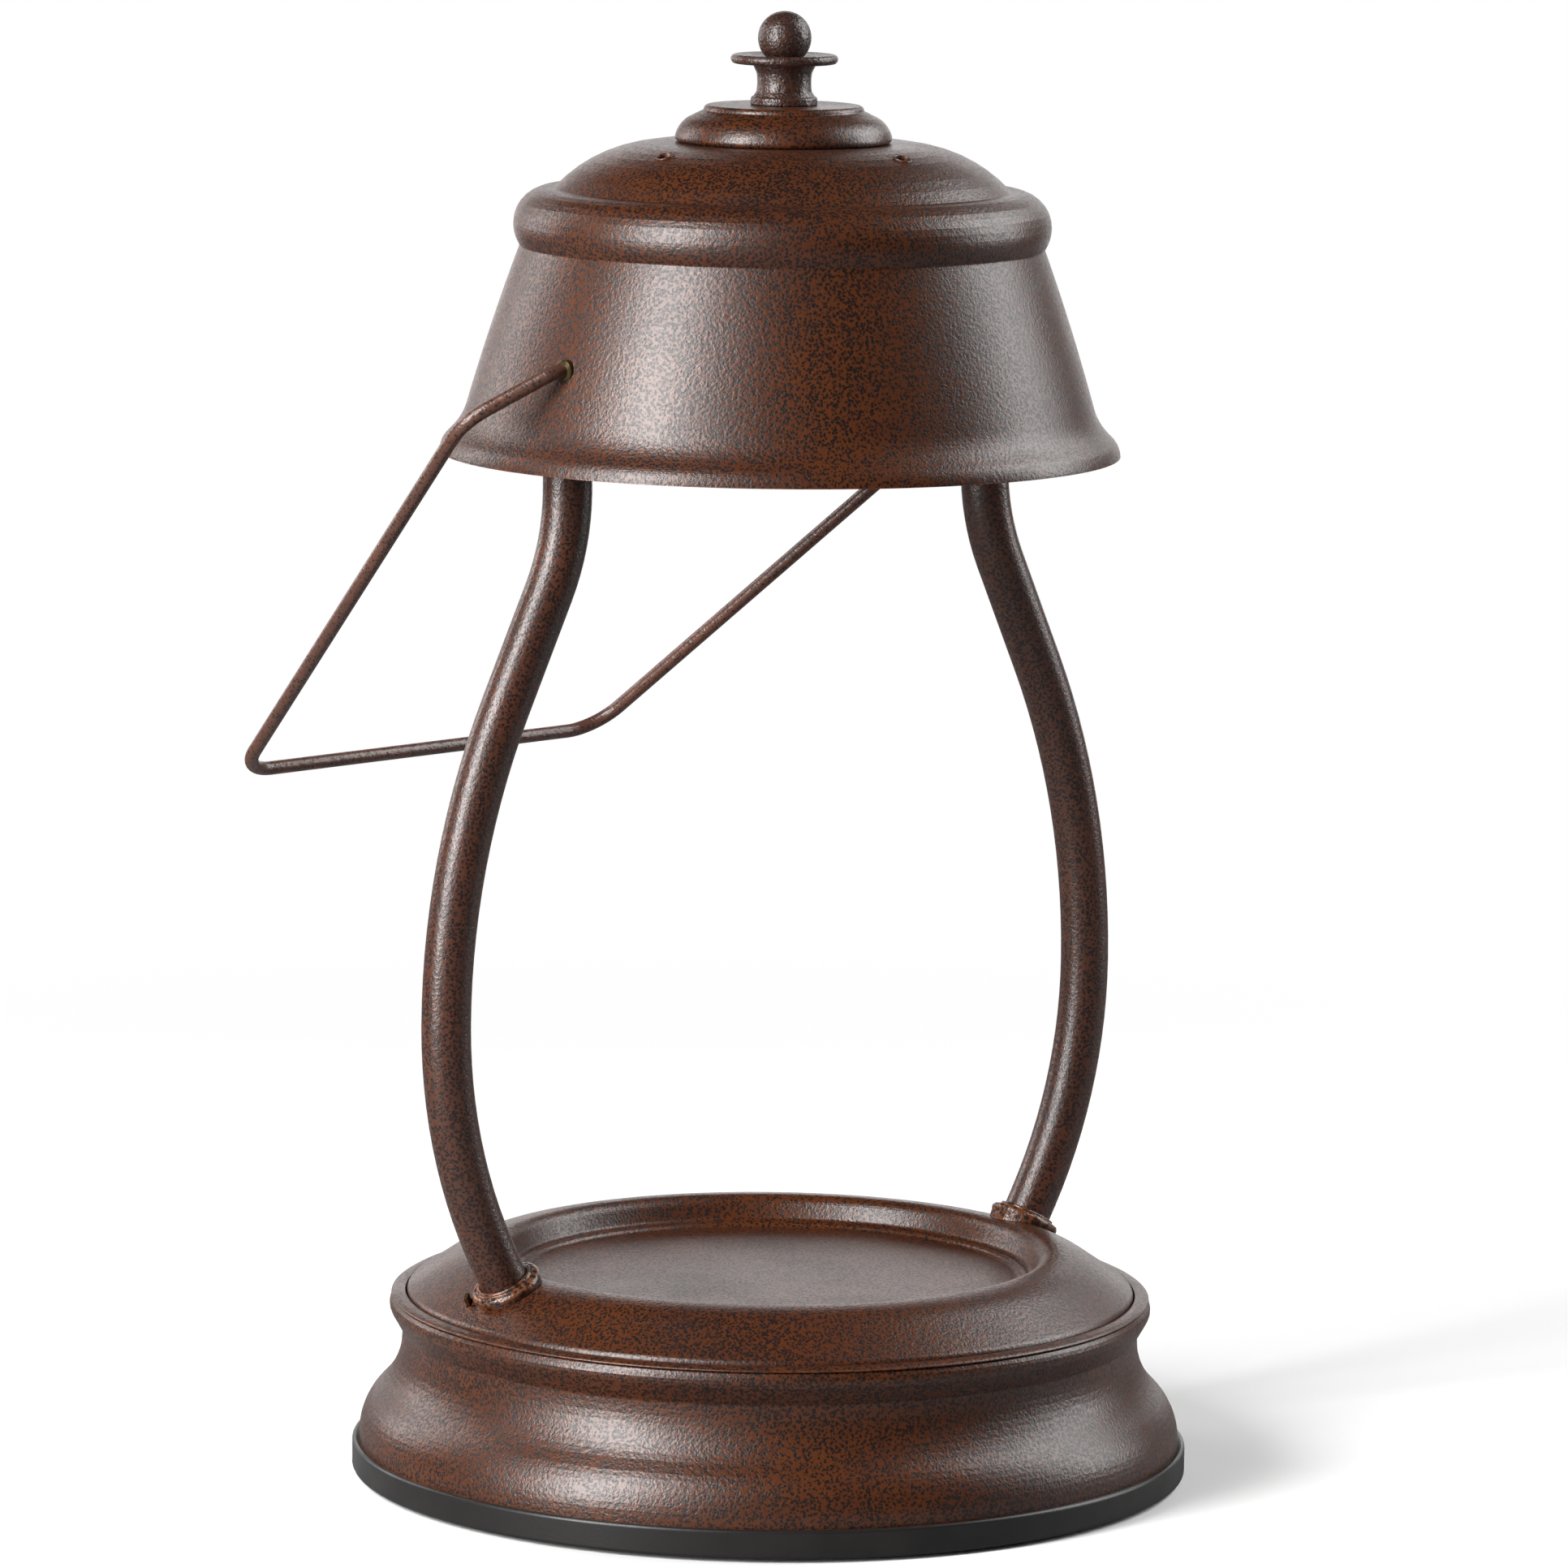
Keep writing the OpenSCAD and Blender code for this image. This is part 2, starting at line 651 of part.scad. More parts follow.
module bulb_lens() {
    color([0.85, 0.88, 0.9]) turned(concat([[0, bulb_z - 0.6]],
        path([bulb_r - 1.8, bulb_z - 0.6], 0, [[90, 0.4], [0, 1.2]]), [[0, bulb_z + 1]]));
}

// ---- Stack on the yoke ------------------------------------------------------
washer_t = 0.8;
thin_nut_h = 3.2;
dome_in = yoke_top + thin_nut_h + washer_t;

module centre_bolt() {
    color([0.74, 0.74, 0.76]) {
        cylinder_between(deck_z - head_h, finial_z + 11, bolt_r);
        translate([0, 0, deck_z - head_h]) cylinder(d = 10 / cos(30), h = head_h, $fn = 6);
    }
}

module stack_nut() {
    color([0.74, 0.74, 0.76]) translate([0, 0, yoke_top]) hex_nut(10, thin_nut_h, bolt_r);
}

module stack_washer() {
    color([0.74, 0.74, 0.76]) translate([0, 0, yoke_top + thin_nut_h]) difference() {
        cylinder(r = 6.5, h = washer_t, $fn = round_fn);
        translate([0, 0, -cut]) cylinder(r = bolt_r, h = 4, $fn = round_fn);
    }
}

// ---- Shade ------------------------------------------------------------------
flare_head = 92;
shade_moves = [[42.4, 5.5], [0, 1.5], [-28.5, 14], [4.35, 488], [-51.25, 0.6], [31, 9.2],
    [97, 7.9], [-54, 0.6], [47, 32.5]];
dome_z = dome_in + shade_wall;
shade_rise = last(path([rim_r, 0], flare_head, shade_moves))[1];
shade_start = [rim_r, dome_z - shade_rise];

module shade_solid() {
    skin = path(shade_start, flare_head, shade_moves);
    turned(concat([[0, shade_start[1]]], skin, [[0, dome_z]]));
}

module shade_frame() {
    rotate([0, 0, shade_turn]) children();
}

barrel_r = 2.1;

module shade() {
    color([0.38, 0.25, 0.19]) shade_frame() difference() {
        turned(concat(path(shade_start, flare_head, shade_moves),
            [[bolt_r + 0.1, dome_z], [bolt_r + 0.1, dome_in]],
            backwards(path(shade_start, flare_head, shade_moves, shade_wall))));
        for (a = [0:90:270]) rotate([0, 0, a]) translate([vent_ring_r, 0, dome_z - 12])
            cylinder(r = vent_r, h = 20, $fn = round_fn);
        both_sides() translate([50, 0, hinge_z]) rotate([0, 90, 0])
            cylinder(r = barrel_r, h = 30, $fn = round_fn);
    }
}

module pivot_eyelets() {
    head_out = 68;
    inner_end = 63.6;
    bore = wire_r + 0.05;
    color([0.74, 0.6, 0.32]) shade_frame() both_sides() difference() {
        union() {
            difference() {
                translate([62, 0, hinge_z]) rotate([0, 90, 0]) union() {
                    cylinder(r = 2.5, h = head_out - 62 - 0.4, $fn = round_fn);
                    translate([0, 0, head_out - 62 - 0.4])
                        cylinder(r1 = 2.5, r2 = 2.1, h = 0.4, $fn = round_fn);
                }
                shade_solid();
            }
            translate([inner_end, 0, hinge_z]) rotate([0, 90, 0])
                cylinder(r = barrel_r, h = 3.2, $fn = round_fn);
        }
        translate([50, 0, hinge_z]) rotate([0, 90, 0]) cylinder(r = bore, h = 30, $fn = round_fn);
    }
}

// ---- Cap and finial -----------------------------------------------------------
cap_wall = 1;
cap_moves = [[105, 1.2], [22, 7], [27, 6], [0, 3], [-54, 0.5], [80, 1.2]];
cap_start_r = 23.1;
cap_rise = last(path([cap_start_r, 0], 0, cap_moves))[1];
finial_z = dome_z + cap_rise;

module top_cap() {
    color([0.38, 0.25, 0.19]) turned(concat(
        path([cap_start_r, dome_z], 0, cap_moves),
        [[bolt_r + 0.1, finial_z], [bolt_r + 0.1, finial_z - cap_wall]],
        backwards(path([cap_start_r, dome_z], 0, cap_moves, cap_wall))));
}

ball_r = 6;
ball_z = 14.95;
disc_r = 12.03;
disc_z = 9.2;
disc_t = 2.1;
foot_disc_r = 7.5;
waist_low_r = 5.98;

module finial() {
    color([0.26, 0.17, 0.14]) translate([0, 0, finial_z]) difference() {
        turned(concat([[0, 0]],
            path([foot_disc_r - 0.4, 0], 0, [[90, 0.4], [0, 0.8], [75, 0.8]]),
            path([waist_low_r + 0.25, 3], 100, [[-20, 12]]),
            path([7.2, disc_z], 0, [[0, disc_r - 7.2 - disc_t / 2], [180, disc_t / 2]]),
            [for (k = [0:2 * steps])
                let (a = -48 + 138 * k / (2 * steps))
                [ball_r * cos(a), ball_z + ball_r * sin(a)]]));
        translate([0, 0, -cut]) cylinder(r = bolt_r, h = 12.5 + cut, $fn = round_fn);
    }
}

// ---- Bail ----------------------------------------------------------------------
// Drawn flat: its hinge line along X and its crossbar toward +Z
pivot_bend_x = 70.2;
wire_end = 60.5;
pivot_r = 5;
shoulder_r = 12;
corner_r = 11;
shoulder_z = 17;
arm_angle = atan2(shoulder_z, bail_half - pivot_bend_x);
leg_angle = atan2(bail_half - bar_half, bail_reach - shoulder_z);
arm_len = norm([bail_half - pivot_bend_x, shoulder_z]);
leg_len = norm([bail_half - bar_half, bail_reach - shoulder_z]);
shoulder_turn = 90 - arm_angle + leg_angle;
corner_turn = 90 - leg_angle;
function setback(turn, r) = r * tan(turn / 2);
half_bail = [[0, pivot_bend_x - wire_end - setback(arm_angle, pivot_r)],
    [-arm_angle, pivot_r],
    [0, arm_len - setback(arm_angle, pivot_r) - setback(shoulder_turn, shoulder_r)],
    [-shoulder_turn, shoulder_r],
    [0, leg_len - setback(shoulder_turn, shoulder_r) - setback(corner_turn, corner_r)],
    [-corner_turn, corner_r]];
bail_moves = concat(half_bail, [[0, 2 * (bar_half - setback(corner_turn, corner_r))]],
    backwards(half_bail));

module bail() {
    color([0.3, 0.2, 0.16]) shade_frame() translate([0, 0, hinge_z])
        rotate([-90 - bail_rest, 0, 0]) translate([wire_end, 0, 0]) rotate([0, 90, 0])
            bent(bail_moves, wire_r);
}

base_pad();
bottom_cover();
cover_screws();
tray_pillars();
base_skirt();
base_top();
cord_grommet();
splice_caps();
lead_live();
lead_neutral();
post_left();
post_right();
foot_collar_left();
foot_collar_right();
foot_saddles();
lock_plates();
foot_nuts();
yoke();
head_nuts();
lampholder();
holder_screws();
lead_bush();
bulb_base();
bulb_pins();
bulb_reflector();
bulb_capsule();
bulb_lens();
centre_bolt();
stack_washer();
stack_nut();
shade();
pivot_eyelets();
top_cap();
finial();
bail();
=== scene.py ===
"""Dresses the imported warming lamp: a finish for every solid, the formed details that the
solids leave plain, a studio and the camera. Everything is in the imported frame, and in metres
where a docstring doesn't say millimetres."""

import logging
import math
from dataclasses import dataclass
from enum import Enum
from functools import cache
from typing import ClassVar, Sequence

import bmesh
import bpy
from mathutils import Matrix, Vector, noise
from mathutils.bvhtree import BVHTree


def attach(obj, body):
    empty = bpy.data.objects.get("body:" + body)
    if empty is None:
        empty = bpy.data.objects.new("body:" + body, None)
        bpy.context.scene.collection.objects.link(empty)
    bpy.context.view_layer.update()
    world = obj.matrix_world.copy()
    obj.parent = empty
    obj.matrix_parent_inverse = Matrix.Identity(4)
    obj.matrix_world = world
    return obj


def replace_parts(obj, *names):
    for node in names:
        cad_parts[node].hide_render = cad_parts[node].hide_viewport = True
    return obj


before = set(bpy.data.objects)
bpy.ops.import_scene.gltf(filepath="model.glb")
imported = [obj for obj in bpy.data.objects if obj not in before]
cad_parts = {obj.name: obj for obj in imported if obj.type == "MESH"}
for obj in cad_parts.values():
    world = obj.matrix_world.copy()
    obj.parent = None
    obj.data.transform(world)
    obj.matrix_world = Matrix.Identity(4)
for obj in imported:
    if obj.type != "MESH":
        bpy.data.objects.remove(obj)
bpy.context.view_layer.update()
LOG = logging.getLogger("warming_lamp")
MM = 0.001
# The sockets of a Mix node that mixes colours, by number because their names repeat
MIX_SHARE, MIX_UNDER, MIX_OVER, MIX_RESULT = 0, 6, 7, 2

Rgb = tuple[float, float, float]
Value = float | Rgb | Vector | bpy.types.NodeSocket


class Body(Enum):
    """The bodies that new pieces ride on."""

    LAMP = "lamp"
    BULB = "bulb"


class Side(Enum):
    """The two ends of the line that the posts stand on."""

    LEFT = -1
    RIGHT = 1

    @property
    def word(self) -> str:
        """The side's word in the names of nodes and pieces."""
        return self.name.lower()


@dataclass
class Bench:
    """A node tree that is being wired.

    Attributes:
        tree: the material's, world's or group's node tree.
    """

    tree: bpy.types.NodeTree

    def feed(self, socket: bpy.types.NodeSocket, value: Value) -> None:
        """Links or sets one input socket.

        Args:
            socket: the input that takes the value.
            value: another node's output, a number, a vector, or a colour without alpha.
        """
        if isinstance(value, bpy.types.NodeSocket):
            self.tree.links.new(value, socket)
        elif isinstance(value, tuple) and len(socket.default_value) == 4:
            socket.default_value = (*value, 1.0)
        else:
            socket.default_value = value

    def add(
        self, kind: str, values: dict[str | int, Value] | None = None, **settings: object
    ) -> bpy.types.Node:
        """Adds one node.

        Args:
            kind: the node's Blender type, without its "ShaderNode" start.
            values: what each named or numbered input takes.
            settings: the node's own properties.

        Returns:
            The new node.
        """
        node = self.tree.nodes.new("ShaderNode" + kind)
        for name, setting in settings.items():
            setattr(node, name, setting)
        for name, value in (values or {}).items():
            self.feed(node.inputs[name], value)
        return node

    def place(self) -> bpy.types.NodeSocket:
        """Gives each point's place in the object's own coordinates."""
        return self.add("TexCoord").outputs["Object"]

    def sum(self, operation: str, *terms: Value) -> bpy.types.NodeSocket:
        """Does arithmetic on one, two or three values.

        Args:
            operation: the Math node's operation.
            terms: the operands, in order.

        Returns:
            The result's socket.
        """
        return self.add("Math", dict(enumerate(terms)), operation=operation).outputs["Value"]

    def vectors(self, operation: str, *terms: Value) -> bpy.types.bpy_prop_collection:
        """Does arithmetic on vectors.

        Args:
            operation: the Vector Math node's operation.
            terms: the operands, in order.

        Returns:
            The node's outputs, Vector and Value.
        """
        return self.add("VectorMath", dict(enumerate(terms)), operation=operation).outputs

    def span(
        self, value: Value, low: float, high: float, to_low: float = 0.0, to_high: float = 1.0
    ) -> bpy.types.NodeSocket:
        """Maps a range on to another, smoothly and clamped.

        Args:
            value: the value to map.
            low: where the source range starts.
            high: where the source range ends.
            to_low: the result at low.
            to_high: the result at high.

        Returns:
            The mapped value's socket.
        """
        ends = {"From Min": low, "From Max": high, "To Min": to_low, "To Max": to_high}
        node = self.add("MapRange", {"Value": value, **ends}, interpolation_type="SMOOTHSTEP")
        return node.outputs["Result"]

    def blend(self, share: Value, under: Value, over: Value) -> bpy.types.NodeSocket:
        """Lays one colour over another.

        Args:
            share: how much of the upper colour shows.
            under: the lower colour.
            over: the upper colour.

        Returns:
            The mixed colour's socket.
        """
        values = {MIX_SHARE: share, MIX_UNDER: under, MIX_OVER: over}
        return self.add("Mix", values, data_type="RGBA").outputs[MIX_RESULT]

    def noise(
        self, frequency: Value, detail: float = 2.0, rough: float = 0.5
    ) -> bpy.types.NodeSocket:
        """Adds noise in the object's own coordinates.

        Args:
            frequency: how many of its features lie in a metre.
            detail: how many finer layers it has.
            rough: how strong the finer layers are.

        Returns:
            The noise's value, about 0.5 on average.
        """
        values = {"Vector": self.place(), "Scale": frequency, "Detail": detail, "Roughness": rough}
        return self.add("TexNoise", values).outputs["Fac"]

    def group(self, tree: bpy.types.NodeTree, **values: Value) -> bpy.types.Node:
        """Places a shared group.

        Args:
            tree: the group's node tree.
            values: what its inputs take.

        Returns:
            The group's node.
        """
        node = self.tree.nodes.new("ShaderNodeGroup")
        node.node_tree = tree
        for name, value in values.items():
            self.feed(node.inputs[name], value)
        return node


class Effects:
    """The shader node groups that several finishes share, each built once."""

    @staticmethod
    def _start(
        name: str, inputs: dict[str, float], outputs: Sequence[str]
    ) -> tuple[Bench, bpy.types.Node, bpy.types.Node]:
        """Starts a group with its sockets.

        Args:
            name: the group's name.
            inputs: its inputs with their default values.
            outputs: the names of its outputs.

        Returns:
            The bench to wire it on, and its input and output nodes.
        """
        tree = bpy.data.node_groups.new(name, "ShaderNodeTree")
        sockets = tree.interface
        for socket, value in inputs.items():
            entry = sockets.new_socket(socket, in_out="INPUT", socket_type="NodeSocketFloat")
            entry.default_value = value
        for socket in outputs:
            sockets.new_socket(socket, in_out="OUTPUT", socket_type="NodeSocketFloat")
        return Bench(tree), tree.nodes.new("NodeGroupInput"), tree.nodes.new("NodeGroupOutput")

    @staticmethod
    @cache
    def specks() -> bpy.types.NodeTree:
        """Irregular dark specks of a two-tone powder coat.

        Returns:
            A group from Frequency and Share, both numbers, to Mask and Soft Mask.
        """
        ruffle_frequency, ruffle_reach = 2300.0, 0.0005
        smallest, spread = 0.75, 0.5
        drift_frequency, drift_low, drift_high, most_drift = 1.0 / 0.03, 0.3, 0.7, 0.03
        crisp_edge, soft_edge = (-0.06, 0.1), (-0.22, 0.25)
        bench, given, result = Effects._start(
            "coat_specks", {"Frequency": 1000.0, "Share": 0.45}, ["Mask", "Soft Mask"]
        )
        place = bench.place()
        ruffle = bench.add("TexNoise", {"Vector": place, "Scale": ruffle_frequency, "Detail": 1.0})
        level = bench.vectors("SUBTRACT", ruffle.outputs["Color"], (0.5, 0.5, 0.5))["Vector"]
        moved = bench.vectors("MULTIPLY_ADD", level, (ruffle_reach,) * 3, place)["Vector"]
        cells = bench.add("TexVoronoi", {"Vector": moved, "Scale": given.outputs["Frequency"]})
        size = bench.sum("MULTIPLY_ADD", cells.outputs["Color"], spread, smallest)
        slow = bench.noise(drift_frequency)
        drift = bench.span(slow, drift_low, drift_high, -most_drift, most_drift)
        reach = bench.sum("MULTIPLY_ADD", given.outputs["Share"], size, drift)
        depth = bench.sum("SUBTRACT", reach, cells.outputs["Distance"])
        bench.feed(result.inputs["Mask"], bench.span(depth, *crisp_edge))
        bench.feed(result.inputs["Soft Mask"], bench.span(depth, *soft_edge))
        return bench.tree

    @staticmethod
    @cache
    def cloud() -> bpy.types.NodeTree:
        """Slow drift of tone over a surface.

        Returns:
            A group from Frequency to Value, from 0 to 1.
        """
        detail, rough, low, high = 3.0, 0.55, 0.32, 0.68
        bench, given, result = Effects._start("slow_cloud", {"Frequency": 40.0}, ["Value"])
        tone = bench.noise(given.outputs["Frequency"], detail, rough)
        bench.feed(result.inputs["Value"], bench.span(tone, low, high))
        return bench.tree

    @staticmethod
    @cache
    def peel() -> bpy.types.NodeTree:
        """The orange-peel skin of sprayed or moulded surfaces.

        Returns:
            A group from Frequency and Fine to Height, about -1 to 1.
        """
        finer_by, gain, offset = 2.7, 2.0, -1.3
        bench, given, result = Effects._start(
            "peel_skin", {"Frequency": 900.0, "Fine": 0.35}, ["Height"]
        )
        broad = bench.noise(given.outputs["Frequency"], 1.0, 0.4)
        finer = bench.noise(bench.sum("MULTIPLY", given.outputs["Frequency"], finer_by))
        both = bench.sum("MULTIPLY_ADD", finer, given.outputs["Fine"], broad)
        bench.feed(result.inputs["Height"], bench.sum("MULTIPLY_ADD", both, gain, offset))
        return bench.tree

    @staticmethod
    @cache
    def rub() -> bpy.types.NodeTree:
        """Edges where the surface is thin or rubbed.

        Returns:
            A group from Radius in metres and Break, a frequency, to Mask.
        """
        flat, sharp = 0.985, 0.85
        detail, rough, low, high = 3.0, 0.6, 0.36, 0.62
        bench, given, result = Effects._start(
            "edge_rub", {"Radius": 0.0006, "Break": 300.0}, ["Mask"]
        )
        rounded = bench.add("Bevel", {"Radius": given.outputs["Radius"]}, samples=6)
        plain = bench.add("NewGeometry").outputs["Normal"]
        turn = bench.vectors("DOT_PRODUCT", rounded.outputs["Normal"], plain)["Value"]
        edge = bench.span(turn, flat, sharp)
        patchy = bench.span(bench.noise(given.outputs["Break"], detail, rough), low, high)
        bench.feed(result.inputs["Mask"], bench.sum("MULTIPLY", edge, patchy))
        return bench.tree


def started(name: str) -> tuple[bpy.types.Material, Bench, bpy.types.Node]:
    """Starts a material with its Principled shader.

    Args:
        name: the material's name.

    Returns:
        The material, its bench and its shader node.
    """
    material = bpy.data.materials.new(name)
    material.use_nodes = True
    return material, Bench(material.node_tree), material.node_tree.nodes["Principled BSDF"]


def skin(bench: Bench, shader: bpy.types.Node, height: Value, depth: float) -> None:
    """Gives a shader a bump.

    Args:
        bench: the material's bench.
        shader: the shader whose Normal takes the bump.
        height: the relief, about -1 to 1.
        depth: how deep one unit of it is, in metres.
    """
    bump = bench.add("Bump", {"Height": height, "Strength": 1.0, "Distance": depth})
    bench.feed(shader.inputs["Normal"], bump.outputs["Normal"])


@dataclass(frozen=True)
class Finish:
    """A surface finish that makes its own material.

    Attributes:
        name: the material's name.
        slot: the record's slot that it belongs to; nothing in this script reads it.
    """

    name: str
    slot: str

    def wire(self, bench: Bench, shader: bpy.types.Node) -> None:
        """Wires the finish into a shader, each kind in its own way.

        Args:
            bench: the material's bench.
            shader: the material's Principled shader.
        """

    @cache
    def material(self) -> bpy.types.Material:
        """Makes the material the first time, and gives the same one after that.

        Returns:
            The material.
        """
        material, bench, shader = started(self.name)
        self.wire(bench, shader)
        return material


@dataclass(frozen=True)
class PowderCoat(Finish):
    """Two-tone powder coat: a warm ground under dark specks, with an orange-peel skin.

    Attributes:
        ground: the ground's colour.
        deep: its colour where the coat is thicker.
        speck: the colour of the specks.
        speck_size: how far apart they lie, in metres.
        share: their radius as a share of their spacing.
        thin: the colour of the coat along edges.
        roughness: the mean roughness.
        peel_size: the size of the skin's dimples, in metres.
        peel_depth: their depth, in metres.
        wear: how strongly edges show the thin colour.
        slow: the frequency of the broad drift of tone.
        quick: the frequency of its small patches.
        patchy: their share in the tone.
        halo: how dark the ground is just round the specks.
        cover: how well the specks cover the ground.
        uneven: how far the roughness drifts.
        speck_rough: how much rougher the specks are.
        speck_dip: how far they stand over the peel, as a share of its depth.
        index: the coat's index of refraction.
    """

    ground: Rgb
    deep: Rgb
    speck: Rgb
    speck_size: float = 0.0007
    share: float = 0.48
    thin: Rgb = (0.17, 0.06, 0.024)
    roughness: float = 0.33
    peel_size: float = 0.0009
    peel_depth: float = 0.000038
    wear: float = 0.7
    slow: ClassVar[float] = 36.0
    quick: ClassVar[float] = 210.0
    patchy: ClassVar[float] = 0.35
    halo: ClassVar[float] = 0.3
    cover: ClassVar[float] = 0.95
    uneven: ClassVar[float] = 0.05
    speck_rough: ClassVar[float] = 0.07
    speck_dip: ClassVar[float] = -0.5
    index: ClassVar[float] = 1.53

    def wire(self, bench: Bench, shader: bpy.types.Node) -> None:
        """See the base class."""
        drift = bench.group(Effects.cloud(), Frequency=self.slow).outputs["Value"]
        flecks = bench.group(Effects.specks(), Frequency=1.0 / self.speck_size, Share=self.share)
        soft_specks, specks = flecks.outputs["Soft Mask"], flecks.outputs["Mask"]
        patch = bench.group(Effects.cloud(), Frequency=self.quick).outputs["Value"]
        edge = bench.group(Effects.rub(), Radius=0.0007, Break=260.0).outputs["Mask"]
        broad = bench.sum("MULTIPLY", drift, 1.0 - self.patchy)
        tone = bench.sum("MULTIPLY_ADD", patch, self.patchy, broad)
        colour = bench.blend(tone, self.ground, self.deep)
        colour = bench.blend(bench.sum("MULTIPLY", soft_specks, self.halo), colour, self.speck)
        colour = bench.blend(bench.sum("MULTIPLY", specks, self.cover), colour, self.speck)
        colour = bench.blend(bench.sum("MULTIPLY", edge, self.wear), colour, self.thin)
        bench.feed(shader.inputs["Base Color"], colour)
        rough = bench.sum("MULTIPLY_ADD", drift, self.uneven, self.roughness - self.uneven / 2.0)
        rough = bench.sum("MULTIPLY_ADD", specks, self.speck_rough, rough)
        bench.feed(shader.inputs["Roughness"], rough)
        shader.inputs["IOR"].default_value = self.index
        peel = bench.group(Effects.peel(), Frequency=1.0 / self.peel_size, Fine=0.55)
        relief = bench.sum("MULTIPLY_ADD", soft_specks, self.speck_dip, peel.outputs["Height"])
        skin(bench, shader, relief, self.peel_depth)


@dataclass(frozen=True)
class Moulded(Finish):
    """Moulded plastic, rubber or fired ceramic with a fine grain.

    Attributes:
        colour: the main colour.
        drift: the colour that it drifts to.
        roughness: the mean roughness.
        grain_size: the size of the grain, in metres.
        grain_depth: its depth, in metres.
        rubbed: the colour along edges.
        wear: how strongly edges show it.
        coat: the weight of a glaze.
        soft: the weight of light that passes under the surface.
        shine: the level of the plain reflection.
        uneven: how far the roughness drifts.
        glaze_rough: the roughness of a glaze.
        soft_reach: how far light passes under the surface, in metres.
    """

    colour: Rgb
    drift: Rgb
    roughness: float
    grain_size: float = 0.0004
    grain_depth: float = 0.00001
    rubbed: Rgb = (0.1, 0.095, 0.095)
    wear: float = 0.35
    coat: float = 0.0
    soft: float = 0.0
    shine: float = 0.5
    uneven: ClassVar[float] = 0.08
    glaze_rough: ClassVar[float] = 0.12
    soft_reach: ClassVar[float] = 0.001

    def wire(self, bench: Bench, shader: bpy.types.Node) -> None:
        """See the base class."""
        drift = bench.group(Effects.cloud(), Frequency=55.0).outputs["Value"]
        edge = bench.group(Effects.rub(), Radius=0.0006, Break=420.0).outputs["Mask"]
        relief = bench.group(Effects.peel(), Frequency=1.0 / self.grain_size, Fine=0.5)
        colour = bench.blend(drift, self.colour, self.drift)
        colour = bench.blend(bench.sum("MULTIPLY", edge, self.wear), colour, self.rubbed)
        bench.feed(shader.inputs["Base Color"], colour)
        rough = bench.sum("MULTIPLY_ADD", drift, self.uneven, self.roughness - self.uneven / 2.0)
        bench.feed(shader.inputs["Roughness"], rough)
        shader.inputs["Coat Weight"].default_value = self.coat
        shader.inputs["Coat Roughness"].default_value = self.glaze_rough
        shader.inputs["Subsurface Weight"].default_value = self.soft
        shader.inputs["Subsurface Scale"].default_value = self.soft_reach
        shader.inputs["Specular IOR Level"].default_value = self.shine
        skin(bench, shader, relief.outputs["Height"], self.grain_depth)


@dataclass(frozen=True)
class BareMetal(Finish):
    """Plated or plain metal with a fine lay, tarnish in patches and brighter edges.

    Attributes:
        colour: the metal's colour.
        tarnish: the colour of its dull patches.
        roughness: the mean roughness.
        patch: how strong the dull patches are.
        grain_size: the size of the surface grain, in metres.
        grain_depth: its depth, in metres.
        bright: the colour of rubbed edges.
        facet: the size of pressed facets, in metres, or 0 for none.
        polish: how much smoother than the mean the clean patches are.
        dulling: how much rougher than those the dull patches are.
        rubbing: how strongly edges show the bright colour.
        facet_rise: the height of the facets against the grain.
    """

    colour: Rgb
    tarnish: Rgb
    roughness: float
    patch: float = 0.5
    grain_size: float = 0.0005
    grain_depth: float = 0.000006
    bright: Rgb = (0.8, 0.78, 0.74)
    facet: float = 0.0
    polish: ClassVar[float] = 0.06
    dulling: ClassVar[float] = 0.16
    rubbing: ClassVar[float] = 0.5
    facet_rise: ClassVar[float] = 2.5

    def wire(self, bench: Bench, shader: bpy.types.Node) -> None:
        """See the base class."""
        dull = bench.group(Effects.cloud(), Frequency=240.0).outputs["Value"]
        edge = bench.group(Effects.rub(), Radius=0.0004, Break=700.0).outputs["Mask"]
        grain = bench.group(Effects.peel(), Frequency=1.0 / self.grain_size, Fine=0.6)
        relief = grain.outputs["Height"]
        colour = bench.blend(bench.sum("MULTIPLY", dull, self.patch), self.colour, self.tarnish)
        colour = bench.blend(bench.sum("MULTIPLY", edge, self.rubbing), colour, self.bright)
        bench.feed(shader.inputs["Base Color"], colour)
        shader.inputs["Metallic"].default_value = 1.0
        rough = bench.sum("MULTIPLY_ADD", dull, self.dulling, self.roughness - self.polish)
        bench.feed(shader.inputs["Roughness"], rough)
        if self.facet:
            cells = bench.add("TexVoronoi", {"Vector": bench.place(), "Scale": 1.0 / self.facet})
            distance = cells.outputs["Distance"]
            relief = bench.sum("MULTIPLY_ADD", distance, self.facet_rise, relief)
        skin(bench, shader, relief, self.grain_depth)


